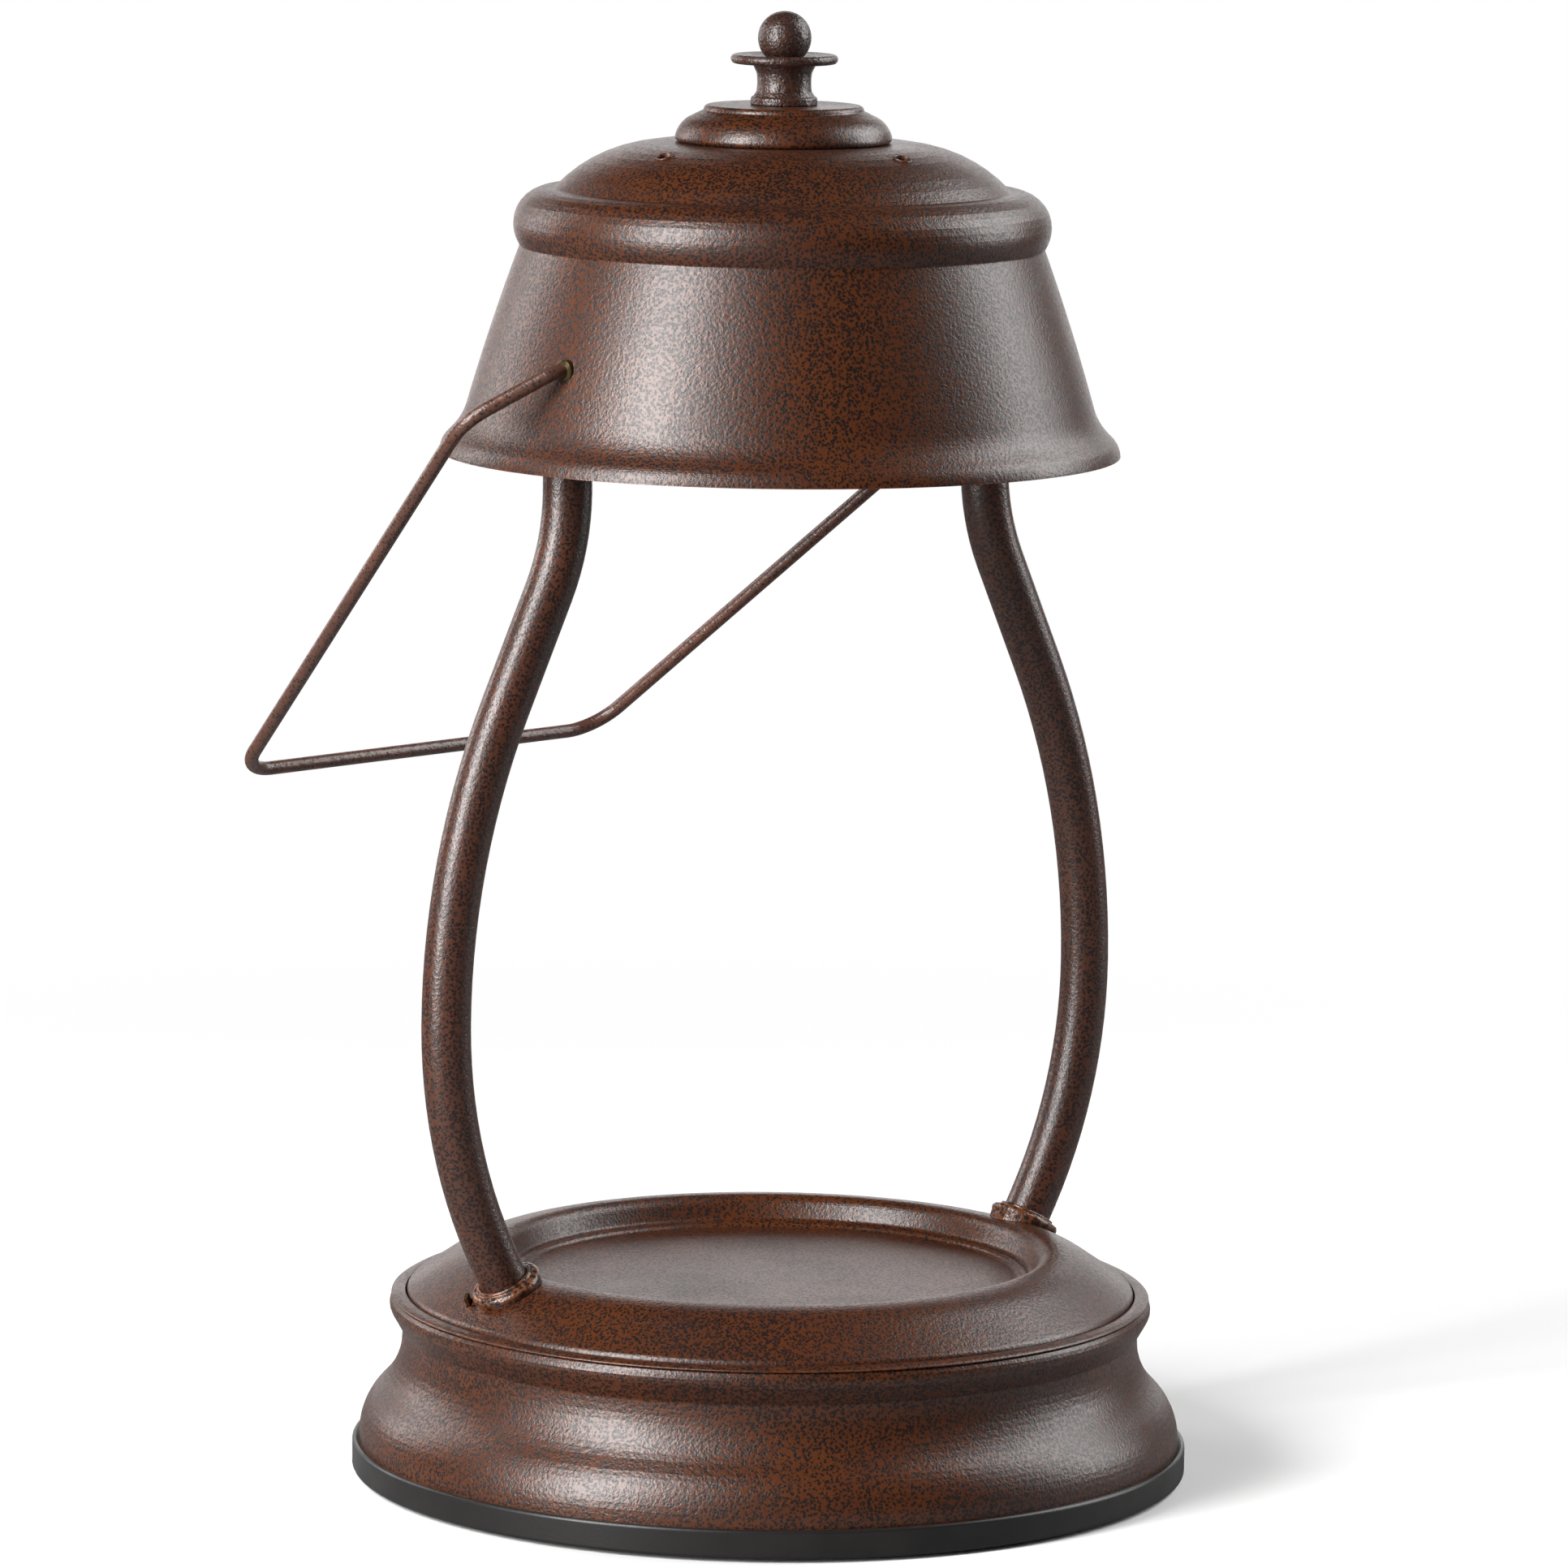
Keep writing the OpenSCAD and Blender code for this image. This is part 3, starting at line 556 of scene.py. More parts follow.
@dataclass(frozen=True)
class ClearGlass(Finish):
    """Pressed clear glass with a faint stipple.

    Attributes:
        tint: the glass's colour.
        roughness: the least roughness.
        stipple_size: the size of the pressed stipple, in metres.
        stipple_depth: its depth, in metres.
        paler: how much paler the clearest patches are.
        uneven: how far the roughness drifts.
        index: the glass's index of refraction.
    """

    tint: Rgb
    roughness: float = 0.04
    stipple_size: float = 0.0018
    stipple_depth: float = 0.00005
    paler: ClassVar[float] = 1.03
    uneven: ClassVar[float] = 0.03
    index: ClassVar[float] = 1.5

    def wire(self, bench: Bench, shader: bpy.types.Node) -> None:
        """See the base class."""
        drift = bench.group(Effects.cloud(), Frequency=90.0).outputs["Value"]
        relief = bench.group(Effects.peel(), Frequency=1.0 / self.stipple_size, Fine=0.2)
        pale = tuple(min(1.0, c * self.paler) for c in self.tint)
        bench.feed(shader.inputs["Base Color"], bench.blend(drift, self.tint, pale))
        rough = bench.sum("MULTIPLY_ADD", drift, self.uneven, self.roughness)
        bench.feed(shader.inputs["Roughness"], rough)
        shader.inputs["Transmission Weight"].default_value = 1.0
        shader.inputs["IOR"].default_value = self.index
        skin(bench, shader, relief.outputs["Height"], self.stipple_depth)


BRONZE_COAT = PowderCoat(
    "bronze_powder_coat", "bronze_coat",
    (0.081, 0.0215, 0.005), (0.058, 0.0155, 0.0055), (0.004, 0.0018, 0.0015),
)
POST_COAT = PowderCoat(
    "post_powder_coat", "post_coat",
    (0.082, 0.028, 0.015), (0.058, 0.021, 0.012), (0.009, 0.005, 0.005), roughness=0.3,
)
BAIL_COAT = PowderCoat(
    "bail_coat", "post_coat",
    (0.105, 0.042, 0.026), (0.062, 0.026, 0.018), (0.018, 0.01, 0.008),
    peel_size=0.0016, peel_depth=0.00006, speck_size=0.0009, share=0.34,
)
COLLAR_COAT = PowderCoat(
    "worn_collar_coat", "post_coat",
    (0.17, 0.054, 0.016), (0.07, 0.027, 0.017), (0.014, 0.008, 0.006),
    thin=(0.2, 0.08, 0.035), roughness=0.24, peel_size=0.0014, peel_depth=0.00009,
    speck_size=0.0012, wear=0.9,
)
CAST_COAT = PowderCoat(
    "cast_finial_coat", "finial_coat",
    (0.058, 0.023, 0.014), (0.036, 0.015, 0.011), (0.014, 0.007, 0.006),
    roughness=0.3, peel_size=0.0012, peel_depth=0.00009,
)
BLACK_MOULDING = Moulded(
    "moulded_ring_black", "black_moulding", (0.014, 0.0125, 0.012), (0.009, 0.008, 0.0078), 0.36,
    rubbed=(0.03, 0.027, 0.025), shine=0.4,
)
PAD_RUBBER = Moulded(
    "pad_foam_rubber", "pad_rubber", (0.02, 0.02, 0.021), (0.03, 0.03, 0.03), 0.85,
    grain_size=0.0007, grain_depth=0.00006,
)
GROMMET_RUBBER = Moulded(
    "grommet_black_rubber", "grommet_rubber", (0.018, 0.018, 0.019), (0.024, 0.023, 0.023), 0.6,
)
ZINC_STEEL = BareMetal(
    "zinc_plated_steel", "plated_steel", (0.56, 0.57, 0.58), (0.36, 0.36, 0.34), 0.33,
)
EYELET_BRASS = BareMetal(
    "dull_eyelet_brass", "eyelet_brass", (0.2, 0.15, 0.07), (0.06, 0.045, 0.025), 0.36,
    patch=0.7, bright=(0.36, 0.27, 0.13),
)
PLATE_BRASS = BareMetal(
    "lock_plate_brass", "eyelet_brass", (0.16, 0.075, 0.03), (0.05, 0.026, 0.014), 0.42,
    patch=0.8, bright=(0.28, 0.14, 0.06),
)
WHITE_PORCELAIN = Moulded(
    "glazed_porcelain", "holder_ceramic", (0.72, 0.7, 0.66), (0.66, 0.63, 0.58), 0.3,
    rubbed=(0.5, 0.46, 0.4), coat=0.5, soft=0.1,
)
BULB_CERAMIC = Moulded(
    "bulb_base_ceramic", "bulb_ceramic", (0.7, 0.69, 0.66), (0.62, 0.61, 0.58), 0.55,
    rubbed=(0.5, 0.48, 0.44),
)
PIN_NICKEL = BareMetal("pin_nickel", "pin_metal", (0.62, 0.58, 0.5), (0.4, 0.37, 0.32), 0.28)
MIRROR_GLASS = BareMetal(
    "mirrored_glass", "reflector_glass", (0.82, 0.83, 0.85), (0.7, 0.71, 0.74), 0.1,
    patch=0.4, grain_size=0.004, grain_depth=0.00009, facet=0.0026,
)
LENS_GLASS = ClearGlass("pressed_lens_glass", "bulb_glass", (0.97, 0.98, 0.98))
BROWN_LEAD = Moulded("brown_lead", "lead_brown", (0.13, 0.05, 0.025), (0.1, 0.04, 0.02), 0.5)
BLUE_LEAD = Moulded("blue_lead", "lead_blue", (0.03, 0.1, 0.32), (0.025, 0.08, 0.26), 0.5)
CAP_PLASTIC = Moulded(
    "splice_cap_plastic", "cap_plastic", (0.6, 0.59, 0.54), (0.52, 0.5, 0.46), 0.45,
)


@dataclass(frozen=True)
class Arc:
    """An arc of a section, in millimetres and degrees.

    Attributes:
        across: its centre's first coordinate.
        up: its centre's second coordinate.
        radius: its radius.
        start: where it starts.
        end: where it ends.
        steps: how many spans it has.
    """

    across: float
    up: float
    radius: float
    start: float
    end: float
    steps: int

    def points(self) -> list[tuple[float, float]]:
        """Gives the arc's points.

        Returns:
            Both coordinates of each point, ends included.
        """
        points = []
        for k in range(self.steps + 1):
            turn = math.radians(self.start + (self.end - self.start) * k / self.steps)
            points.append(
                (self.across + self.radius * math.cos(turn), self.up + self.radius * math.sin(turn))
            )
        return points


def ways_round(count: int) -> list[Vector]:
    """Gives level directions, evenly spaced round +Z.

    Args:
        count: how many there are.

    Returns:
        The unit vectors, from +X on.
    """
    turns = (math.tau * k / count for k in range(count))
    return [Vector((math.cos(turn), math.sin(turn), 0.0)) for turn in turns]


def raised(height: float) -> Vector:
    """Gives the vector straight up by a height."""
    return Vector((0.0, 0.0, height))


def joined(rings: Sequence[Sequence[Vector]], closed: bool) -> list[tuple[int, ...]]:
    """Gives the faces of a skin over rings that all have as many points.

    Args:
        rings: closed sections, in order along the piece.
        closed: whether the last section joins the first; else both ends are capped.

    Returns:
        The faces, as indices of the sections' points in order.
    """
    count, around = len(rings), len(rings[0])
    faces: list[tuple[int, ...]] = []
    for i in range(count if closed else count - 1):
        k = (i + 1) % count
        for j in range(around):
            m = (j + 1) % around
            faces.append((i * around + j, k * around + j, k * around + m, i * around + m))
    if not closed:
        faces.append(tuple(range(around))[::-1])
        faces.append(tuple(range((count - 1) * around, count * around)))
    return faces


def formed(
    name: str, rings: Sequence[Sequence[Vector]], body: Body, closed: bool = True
) -> bpy.types.Object:
    """Makes a smooth new piece from its sections.

    Args:
        name: the piece's name.
        rings: its sections, as joined() takes them, in metres.
        body: the body that it rides on.
        closed: whether the last section joins the first.

    Returns:
        The piece.
    """
    mesh = bpy.data.meshes.new(name)
    mesh.from_pydata([point for ring in rings for point in ring], [], joined(rings, closed))
    mesh.polygons.foreach_set("use_smooth", [True] * len(mesh.polygons))
    work = bmesh.new()
    work.from_mesh(mesh)
    bmesh.ops.recalc_face_normals(work, faces=work.faces)
    work.to_mesh(mesh)
    work.free()
    piece = bpy.data.objects.new(name, mesh)
    bpy.context.scene.collection.objects.link(piece)
    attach(piece, body.value)
    LOG.info("%s formed", name)
    return piece


def surface_of(node: str) -> BVHTree:
    """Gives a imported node's surface for casting rays at.

    Args:
        node: the node's name.

    Returns:
        The tree of its faces.
    """
    return BVHTree.FromObject(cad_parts[node], bpy.context.evaluated_depsgraph_get())


@dataclass(frozen=True)
class FootCollar:
    """The cast collar round a post's foot: a bead, a groove and a thin lip, seated on the tray.

    Sizes are in millimetres and angles in degrees, and radii are from the post's axis.

    Attributes:
        side: the side of its post.
        foot: where the post's axis meets the tray's crest, across and up.
        lean: how far the post leans outward.
        bore: the radius of its bore next to the tray.
        step: the height at which the bore widens.
        throat: the radius of the bore above that.
        throat_top: the height of the throat.
        lip: the lip's section.
        groove: the points between lip and bead.
        bead: the bead's section.
        skirt: radius of the edge under the bead, and its height over the tray.
        seat: the radius at which that edge meets the tray.
        bore_seat: the radius at which the bore is set against the tray.
        gap: how far it is held off the tray.
        ripple: how far the casting's outside wanders.
        sections: how many sections it has.
    """

    side: Side
    foot: tuple[float, float]
    lean: float
    bore: float = 4.15
    step: float = 0.8
    throat: float = 5.53
    throat_top: float = 2.3
    lip: Arc = Arc(5.98, 2.36, 0.44, 178.0, -5.0, 9)
    groove: tuple[tuple[float, float], ...] = ((6.46, 2.14), (6.56, 2.02))
    bead: Arc = Arc(7.0, 0.96, 1.08, 102.0, -42.0, 14)
    skirt: tuple[float, float] = (7.72, 0.12)
    seat: float = 7.66
    bore_seat: float = 4.5
    gap: float = 0.01
    ripple: float = 0.11
    sections: int = 120

    def outline(self, seat_in: float, seat_out: float) -> list[tuple[float, float]]:
        """Gives one section, from its inner seat up and round to its outer one.

        Args:
            seat_in: the tray's height under the bore.
            seat_out: the tray's height under the bead.

        Returns:
            Radius and height of each point.
        """
        return [
            (self.bore, seat_in), (self.bore, self.step),
            (self.throat, self.step), (self.throat, self.throat_top),
            *self.lip.points(), *self.groove, *self.bead.points(),
            (self.skirt[0], seat_out + self.skirt[1]), (self.seat, seat_out),
        ]

    def build(self) -> bpy.types.Object:
        """Makes the collar in place of the plain one.

        Returns:
            The piece.
        """
        above, upward = 4.0, 0.6
        still_inside, grows_over, still_over_seat = 5.6, 0.6, 0.2
        waves_round, waves_across, next_collar = 2.6, 0.9, self.side.value * 5.0
        tray = surface_of("base_top")
        place = Matrix.Translation(Vector((self.side.value * self.foot[0], 0.0, self.foot[1])) * MM)
        place = place @ Matrix.Rotation(self.side.value * math.radians(self.lean), 4, "Y")
        down = (place.to_3x3() @ raised(-1.0)).normalized()
        rings = []
        for way in ways_round(self.sections):
            seats = []
            for radius in (self.bore_seat, self.seat):
                start = place @ ((way * radius + raised(above)) * MM)
                hit = tray.ray_cast(start, down)[0]
                seats.append((place.inverted() @ hit).z / MM + self.gap)
            ring = []
            for radius, height in self.outline(*seats):
                free = min(1.0, max(0.0, (radius - still_inside) / grows_over))
                free *= height > seats[1] + still_over_seat
                offset = Vector((next_collar, radius * waves_across, height * waves_across))
                stir = noise.noise(way * waves_round + offset) * self.ripple * free
                point = way * (radius + stir) + raised(height + stir * upward)
                ring.append(place @ (point * MM))
            rings.append(ring)
        piece = formed(f"collar_cast_{self.side.word}", rings, Body.LAMP)
        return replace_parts(piece, f"foot_collar_{self.side.word}")


@dataclass(frozen=True)
class RimHem:
    """The flat hem that laps over the skirt's rolled rim, with a dark seam under its edge.

    Sizes are in millimetres.

    Attributes:
        section: radius and height of its points, over its top and back underneath.
        ripple: how far it wanders.
        sections: how many sections it has.
    """

    section: tuple[tuple[float, float], ...] = (
        (82.96, 41.12), (83.02, 41.3), (83.2, 41.41), (83.7, 41.46), (84.3, 41.45), (84.9, 41.38),
        (85.4, 41.25), (85.85, 41.04), (86.14, 40.84), (86.24, 40.68), (86.19, 40.55),
        (86.05, 40.52), (85.75, 40.72), (85.2, 40.92), (84.5, 41.07), (83.7, 41.12), (83.2, 41.06),
    )
    ripple: float = 0.05
    sections: int = 288

    def build(self) -> bpy.types.Object:
        """Makes the hem.

        Returns:
            The piece.
        """
        waves, upward = 7.0, 0.6
        rings = []
        for way in ways_round(self.sections):
            stir = noise.noise(way * waves) * self.ripple
            rings.append([
                (way * (radius + stir) + raised(height + stir * upward)) * MM
                for radius, height in self.section
            ])
        return formed("rim_hem", rings, Body.LAMP)


@dataclass(frozen=True)
class VentLips:
    """The thin lips that piercing left round the vent holes of the dome.

    Attributes:
        count: how many holes there are.
        circle: the radius of their circle, in millimetres.
        turn: how far the shade is turned, in degrees.
        radius: the radius of a lip's crest, in millimetres.
        thickness: half the thickness of a lip, in millimetres.
        raise_by: how far the middle of its section stands over the dome, in millimetres.
        sections: how many sections a lip has.
    """

    count: int = 4
    circle: float = 37.0
    turn: float = 10.0
    radius: float = 1.86
    thickness: float = 0.27
    raise_by: float = 0.04
    sections: int = 48

    def build(self) -> list[bpy.types.Object]:
        """Makes the lips.

        Returns:
            The pieces, in order round the dome.
        """
        above, waves, change, next_lip = 0.4, 1.7, 0.3, 3.0
        dome = surface_of("shade")
        lips = []
        for k in range(self.count):
            bearing = math.radians(self.turn + 360.0 * k / self.count)
            middle = Vector((math.cos(bearing), math.sin(bearing), 0.0)) * self.circle
            rings = []
            for way in ways_round(self.sections):
                crest = (middle + way * self.radius) * MM
                hit = dome.ray_cast(crest + raised(above), raised(-1.0))[0]
                swell = noise.noise(way * waves + Vector((k * next_lip, 0.0, 0.0)))
                thick = self.thickness * (1.0 + change * swell)
                section = Arc(0.0, self.raise_by, thick, 0.0, 324.0, 9).points()
                rings.append([hit + (way * across + raised(up)) * MM for across, up in section])
            lips.append(formed(f"vent_lip_{k + 1}", rings, Body.LAMP))
        return lips


@dataclass(frozen=True)
class Filament:
    """The coiled filament inside the bulb's capsule, on its two wires.

    Sizes are in millimetres.

    Attributes:
        height: the coil's height.
        top: the height at which its two wires begin.
        reach: half the coil's length.
        coil: the coil's radius.
        wire: the wire's radius.
        turns: how many turns it has.
        per_turn: how many spans a turn has, and each straight wire too.
        around: how many points the wire's section has.
    """

    height: float = 251.4
    top: float = 262.0
    reach: float = 1.75
    coil: float = 0.42
    wire: float = 0.07
    turns: int = 11
    per_turn: int = 14
    around: int = 8

    def path(self) -> list[Vector]:
        """Gives the wire's middle line.

        Returns:
            Its points.
        """
        fall = (self.height - self.top) / self.per_turn
        first = [Vector((-self.reach, 0.0, self.top + fall * k)) for k in range(self.per_turn)]
        spans = self.turns * self.per_turn
        coil = []
        for k in range(spans + 1):
            turn = math.tau * k / self.per_turn
            across = -self.reach + 2.0 * self.reach * k / spans
            lift = self.coil * (1.0 - math.cos(turn))
            coil.append(Vector((across, self.coil * math.sin(turn), self.height - lift)))
        return [*first, *coil, *(Vector((-p.x, p.y, p.z)) for p in reversed(first))]

    def build(self) -> bpy.types.Object:
        """Makes the filament.

        Returns:
            The piece.
        """
        askew = Vector((0.3, 1.0, 0.2))
        line = self.path()
        rings = []
        for k, point in enumerate(line):
            along = (line[min(k + 1, len(line) - 1)] - line[max(k - 1, 0)]).normalized()
            side = along.cross(askew).normalized()
            other = along.cross(side)
            rings.append([
                (point + (side * way.x + other * way.y) * self.wire) * MM
                for way in ways_round(self.around)
            ])
        return formed("bulb_filament", rings, Body.BULB, closed=False)


@dataclass(frozen=True)
class SubAssembly:
    """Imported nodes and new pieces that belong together.

    Attributes:
        coats: each finish with the nodes and pieces that take it.
    """

    coats: ClassVar[Sequence[tuple[Finish, Sequence[str]]]] = ()

    def build(self) -> None:
        """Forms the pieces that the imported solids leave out, where there are any."""

    def dress(self) -> None:
        """Puts each finish on its nodes and pieces."""
        for finish, names in self.coats:
            for name in names:
                mesh = bpy.data.objects[name].data
                mesh.materials.clear()
                mesh.materials.append(finish.material())
                LOG.info("%s dressed with %s", name, finish.name)


@dataclass(frozen=True)
class Foot(SubAssembly):
    """The lamp's foot: pad, moulded cover and ring, spun skirt, tray plate and cord inlet.

    Attributes:
        hem: the hem over the skirt's rolled rim.
    """

    hem: RimHem = RimHem()
    coats = (
        (BRONZE_COAT, ("base_skirt", "base_top", "rim_hem")),
        (BLACK_MOULDING, ("bottom_cover",)),
        (PAD_RUBBER, ("base_pad",)),
        (GROMMET_RUBBER, ("cord_grommet",)),
        (ZINC_STEEL, ("cover_screws", "tray_pillars")),
    )

    def build(self) -> None:
        """Forms the hem over the rolled rim."""
        self.hem.build()


@dataclass(frozen=True)
class Wiring(SubAssembly):
    """The leads inside the foot and posts, and their splice caps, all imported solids."""

    coats = (
        (BROWN_LEAD, ("lead_live",)),
        (BLUE_LEAD, ("lead_neutral",)),
        (CAP_PLASTIC, ("splice_caps",)),
        (GROMMET_RUBBER, ("lead_bush",)),
    )


@dataclass(frozen=True)
class Posts(SubAssembly):
    """The two bowed tube posts with what holds their feet and heads.

    Attributes:
        foot: where a post's axis meets the tray's crest, across and up, in millimetres.
        lean: how far a post leans outward there, in degrees.
    """

    foot: tuple[float, float] = (71.618, 49.292)
    lean: float = 28.0
    coats = (
        (POST_COAT, ("post_left", "post_right", "foot_saddles")),
        (COLLAR_COAT, ("collar_cast_left", "collar_cast_right")),
        (COLLAR_COAT, ("foot_collar_left", "foot_collar_right")),
        (PLATE_BRASS, ("lock_plates",)),
        (ZINC_STEEL, ("foot_nuts", "head_nuts")),
    )

    def build(self) -> None:
        """Forms the collar of each post."""
        for side in Side:
            FootCollar(side, self.foot, self.lean).build()


@dataclass(frozen=True)
class Head(SubAssembly):
    """The yoke under the shade with the lampholder and the centre bolt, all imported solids."""

    coats = (
        (POST_COAT, ("yoke",)),
        (WHITE_PORCELAIN, ("lampholder",)),
        (ZINC_STEEL, ("holder_screws", "centre_bolt", "stack_washer", "stack_nut")),
    )


@dataclass(frozen=True)
class Bulb(SubAssembly):
    """The reflector bulb that warms what stands on the tray.

    Attributes:
        filament: the filament in its capsule.
    """

    filament: Filament = Filament()
    coats = (
        (BULB_CERAMIC, ("bulb_base",)),
        (PIN_NICKEL, ("bulb_pins", "bulb_filament")),
        (MIRROR_GLASS, ("bulb_reflector",)),
        (LENS_GLASS, ("bulb_capsule", "bulb_lens")),
    )

    def build(self) -> None:
        """Forms the filament."""
        self.filament.build()


@dataclass(frozen=True)
class Shade(SubAssembly):
    """The spun shade with its cap, finial and eyelets.

    Attributes:
        lips: the lips round the vent holes.
    """

    lips: VentLips = VentLips()
    coats = (
        (BRONZE_COAT, ("shade", "top_cap", "vent_lip_1", "vent_lip_2", "vent_lip_3", "vent_lip_4")),
        (CAST_COAT, ("finial",)),
        (EYELET_BRASS, ("pivot_eyelets",)),
    )

    def build(self) -> None:
        """Forms the lips round the vent holes."""
        self.lips.build()


@dataclass(frozen=True)
class Bail(SubAssembly):
    """The wire bail that the lamp is carried by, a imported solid."""

    coats = ((BAIL_COAT, ("bail",)),)


@dataclass(frozen=True)
class Softbox:
    """One soft studio lamp that faces the middle of the object.

    Attributes:
        name: the lamp's name.
        bearing: its direction from the object, in degrees from +X.
        elevation: its height above the horizon, in degrees.
        distance: how far off it stands.
        width: its width.
        height: its height.
        watts: its power.
        aim: the point that it faces.
    """

    name: str
    bearing: float
    elevation: float
    distance: float
    width: float
    height: float
    watts: float
    aim: ClassVar[Vector] = Vector((0.0, 0.0, 0.17))

    def build(self) -> bpy.types.Object:
        """Makes the lamp.

        Returns:
            The lamp's object.
        """
        data = bpy.data.lights.new(self.name, "AREA")
        data.shape, data.size, data.size_y = "RECTANGLE", self.width, self.height
        data.energy = self.watts
        lamp = bpy.data.objects.new(self.name, data)
        bpy.context.scene.collection.objects.link(lamp)
        turn, lift = math.radians(self.bearing), math.radians(self.elevation)
        flat = math.cos(lift)
        way = Vector((math.cos(turn) * flat, math.sin(turn) * flat, math.sin(lift)))
        lamp.location = self.aim + way * self.distance
        lamp.rotation_mode = "QUATERNION"
        lamp.rotation_quaternion = (-way).to_track_quat("-Z", "Y")
        LOG.info("softbox %s placed", self.name)
        return lamp


@dataclass(frozen=True)
class Studio:
    """Plain pale floor, white surroundings, soft lamps and the camera.

    Attributes:
        softboxes: a key at the front left, a fill at the right and two low rims behind.
        floor_radius: the floor's radius.
        hidden_radius: the radius of the gap under the foot, through which its underside is lit.
        floor_steps: how many points the floor's edges have.
        ambient: the light that comes from all round.
        below: the light that comes up through the gap.
        below_slope: how steeply it comes where it is full, and where it ends.
        mirrored: the brightness of the dark side of the studio in reflections.
        bright: the brightness of the white backdrop in reflections.
        backdrop: the backdrop's direction.
        backdrop_edge: how close to that direction it begins, and is full.
        paper: the floor's colour as the camera sees it.
        table: the floor's colour in the light that it throws back.
        near_table: the same close to the foot.
        near_edge: where the one turns into the other.
        melt_edge: where the floor melts into the white.
        floor_rough: the floor's roughness.
        floor_shine: the level of its plain reflection.
        lens: the camera's focal length in millimetres.
        sensor: its sensor's width in millimetres.
        clip: the nearest and farthest distance that the camera sees.
        eye: where the camera stands.
        right: the picture's rightward direction.
        up: the picture's upward direction.
    """

    softboxes: tuple[Softbox, ...] = (
        Softbox("key_left", 184.0, 22.0, 1.2, 0.44, 1.15, 33.0),
        Softbox("key_tail", 206.0, 19.0, 1.25, 0.3, 0.9, 1.6),
        Softbox("fill_right", 339.0, 26.0, 1.2, 0.5, 1.15, 13.0),
        Softbox("rim_left", 107.0, 16.0, 1.2, 0.4, 0.7, 3.8),
        Softbox("rim_right", 5.0, 34.0, 1.2, 0.5, 0.5, 3.0),
    )
    floor_radius: float = 1.4
    hidden_radius: float = 0.088
    floor_steps: int = 96
    ambient: float = 0.055
    below: float = 0.8
    below_slope: tuple[float, float] = (-0.6, -0.3)
    mirrored: float = 0.03
    bright: float = 1.5
    backdrop: Vector = Vector((0.5764, 0.8171, 0.0))
    backdrop_edge: tuple[float, float] = (0.84, 0.96)
    paper: Rgb = (0.92, 0.92, 0.92)
    table: Rgb = (0.2, 0.2, 0.2)
    near_table: Rgb = (0.3, 0.3, 0.3)
    near_edge: tuple[float, float] = (0.14, 0.3)
    melt_edge: tuple[float, float] = (0.22, 0.75)
    floor_rough: float = 0.9
    floor_shine: float = 0.1
    lens: float = 196.54
    sensor: float = 36.0
    clip: tuple[float, float] = (0.05, 50.0)
    eye: Vector = Vector((-1.103451, -1.564241, 0.437532))
    right: Vector = Vector((0.8175305, -0.5757670, 0.0116726))
    up: Vector = Vector((0.0738417, 0.1249062, 0.9894169))

    def surroundings(self) -> None:
        """Lights the scene evenly, and shows white to the camera and through glass."""
        world = bpy.data.worlds.new("studio_white")
        world.use_nodes = True
        bpy.context.scene.world = world
        bench = Bench(world.node_tree)
        path = bench.add("LightPath").outputs
        glossy = path["Is Glossy Ray"]
        seen = bench.sum("MAXIMUM", path["Is Camera Ray"], path["Is Transmission Ray"])
        way = bench.add("TexCoord").outputs["Generated"]
        facing = bench.vectors("DOT_PRODUCT", way, self.backdrop)["Value"]
        mirrored = bench.span(facing, *self.backdrop_edge, self.mirrored, self.bright)
        soft = bench.sum("MULTIPLY", mirrored, glossy)
        rise = bench.add("SeparateXYZ", {0: way}).outputs["Z"]
        level = bench.span(rise, *self.below_slope, self.below, self.ambient)
        plain = bench.sum("MULTIPLY", bench.sum("SUBTRACT", 1.0, glossy), level)
        strength = bench.sum("MAXIMUM", seen, bench.sum("ADD", soft, plain))
        background = world.node_tree.nodes["Background"].inputs
        background["Color"].default_value = (1.0, 1.0, 1.0, 1.0)
        bench.feed(background["Strength"], strength)

    def floor(self) -> None:
        """Lays a pale round floor that melts into the white round it and vanishes from below."""
        steps = self.floor_steps
        ways = ways_round(steps)
        rims = [way * radius for radius in (self.hidden_radius, self.floor_radius) for way in ways]
        quads = [(i, steps + i, steps + (i + 1) % steps, (i + 1) % steps) for i in range(steps)]
        mesh = bpy.data.meshes.new("studio_floor")
        mesh.from_pydata(rims, [], quads)
        floor = bpy.data.objects.new("studio_floor", mesh)
        bpy.context.scene.collection.objects.link(floor)
        mesh.materials.append(self.floor_material())

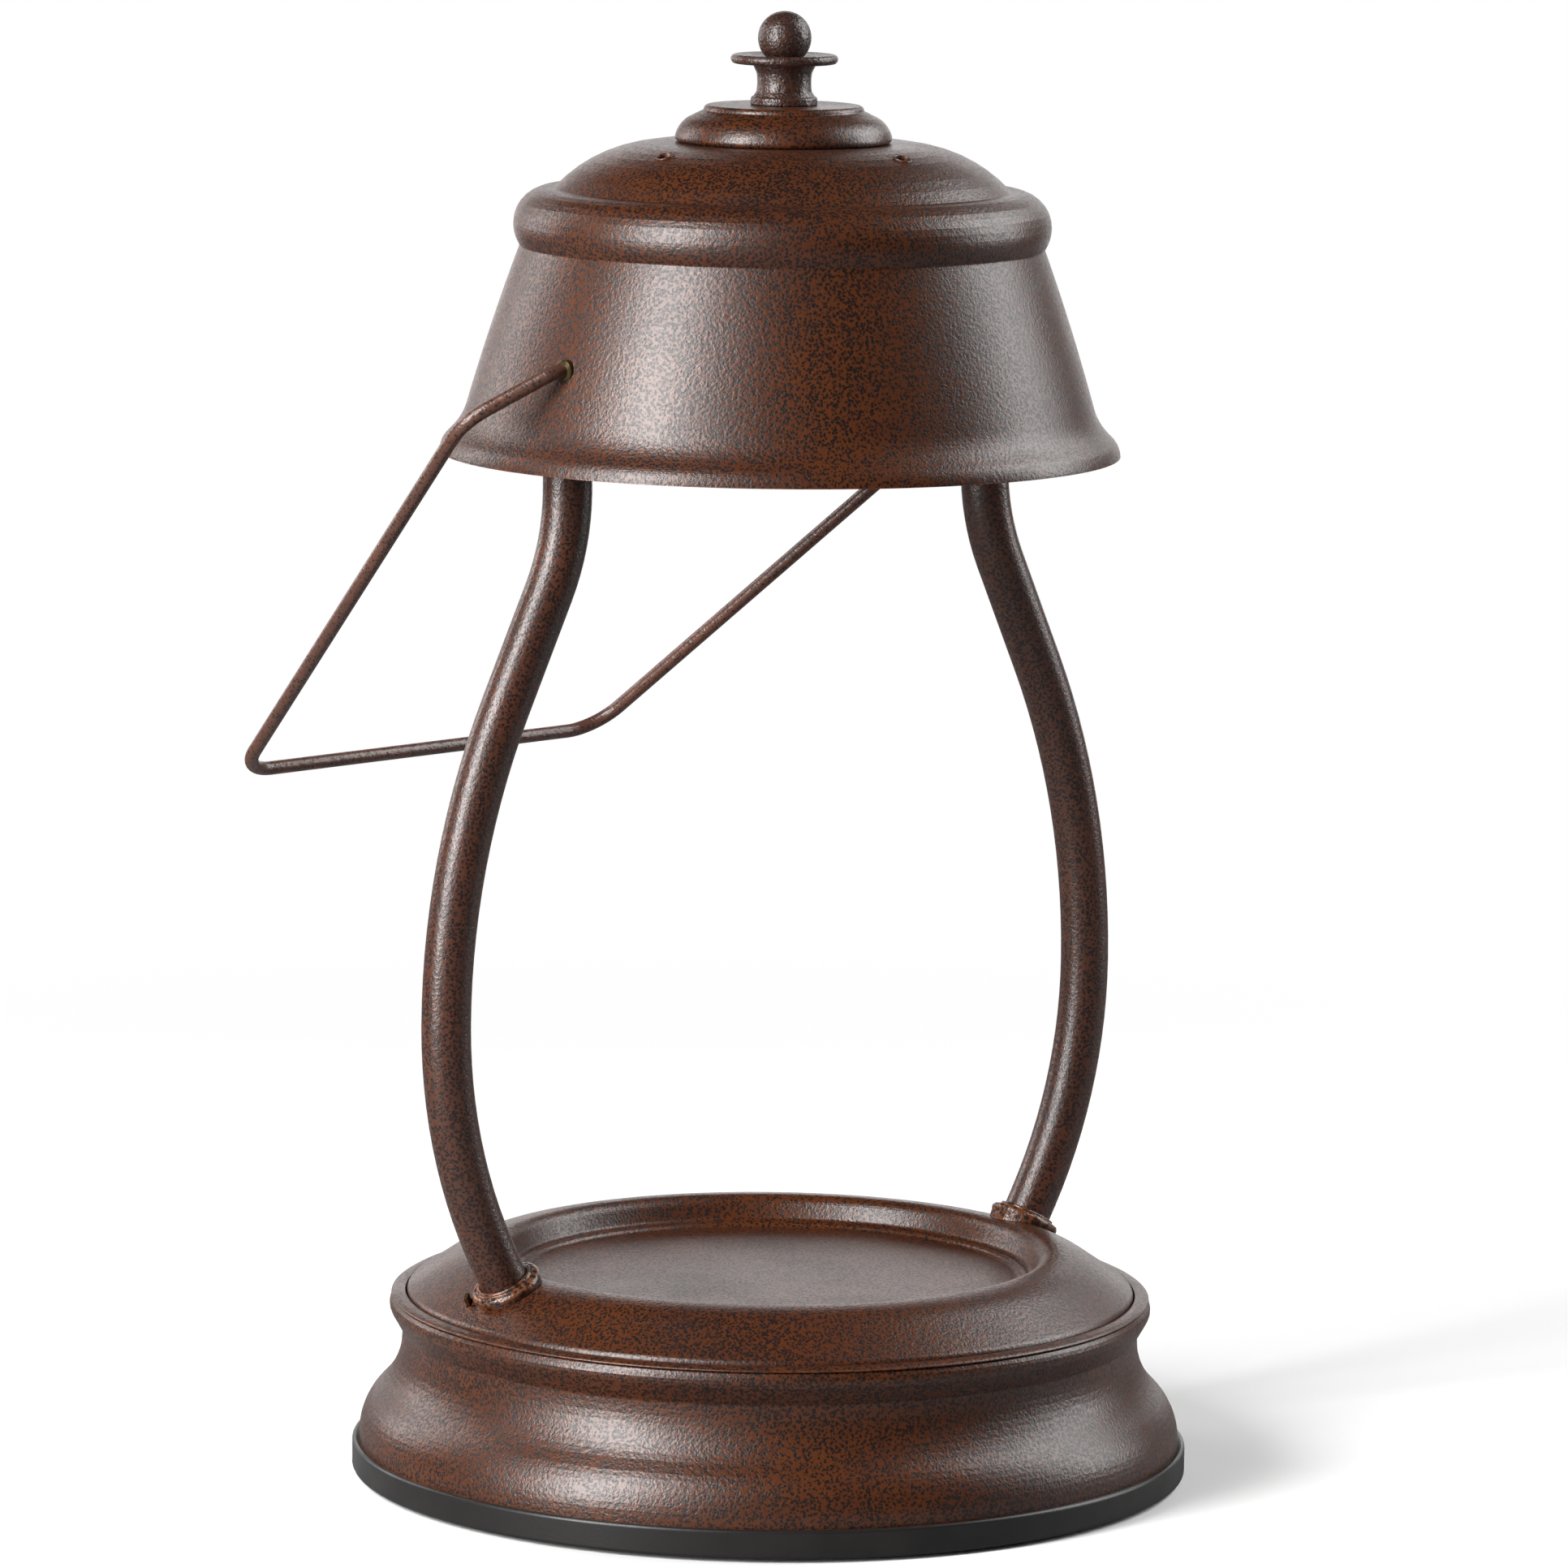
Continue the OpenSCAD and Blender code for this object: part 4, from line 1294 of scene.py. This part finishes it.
    def floor_material(self) -> bpy.types.Material:
        """Makes the floor's material.

        Returns:
            The material.
        """
        material, bench, shader = started("pale_floor")
        camera_ray = bench.add("LightPath").outputs["Is Camera Ray"]
        reach = bench.vectors("LENGTH", bench.place())["Value"]
        thrown = bench.blend(bench.span(reach, *self.near_edge), self.near_table, self.table)
        bench.feed(shader.inputs["Base Color"], bench.blend(camera_ray, thrown, self.paper))
        shader.inputs["Roughness"].default_value = self.floor_rough
        shader.inputs["Specular IOR Level"].default_value = self.floor_shine
        fade = bench.sum("MULTIPLY", camera_ray, bench.span(reach, *self.melt_edge))
        white = bench.add("Emission", {"Strength": 1.0}).outputs["Emission"]
        melted = bench.add("MixShader", {0: fade, 1: shader.outputs["BSDF"], 2: white})
        backfacing = bench.add("NewGeometry").outputs["Backfacing"]
        under = bench.sum("MULTIPLY", camera_ray, backfacing)
        clear = bench.add("BsdfTransparent").outputs["BSDF"]
        last = bench.add("MixShader", {0: under, 1: melted.outputs["Shader"], 2: clear})
        surface = material.node_tree.nodes["Material Output"].inputs["Surface"]
        bench.feed(surface, last.outputs["Shader"])
        return material

    def camera(self) -> None:
        """Stands the camera where the photograph was taken from."""
        data = bpy.data.cameras.new("photo_camera")
        data.lens, data.sensor_width = self.lens, self.sensor
        data.clip_start, data.clip_end = self.clip
        camera = bpy.data.objects.new("photo_camera", data)
        bpy.context.scene.collection.objects.link(camera)
        right = self.right.normalized()
        back = right.cross(self.up).normalized()
        turn = Matrix((right, back.cross(right), back)).transposed()
        camera.matrix_world = Matrix.Translation(self.eye) @ turn.to_4x4()
        bpy.context.scene.camera = camera

    def build(self) -> None:
        """Makes the whole studio."""
        bpy.context.scene.view_settings.view_transform = "Standard"
        self.surroundings()
        self.floor()
        for softbox in self.softboxes:
            softbox.build()
        self.camera()


def main() -> None:
    """Builds and dresses every part of the lamp, then the studio."""
    logging.basicConfig(level=logging.INFO, format="%(name)s: %(message)s")
    for part in (Foot(), Wiring(), Posts(), Head(), Bulb(), Shade(), Bail()):
        part.build()
        part.dress()
        LOG.info("%s finished", type(part).__name__)
    Studio().build()


if __name__ == "__main__":
    main()
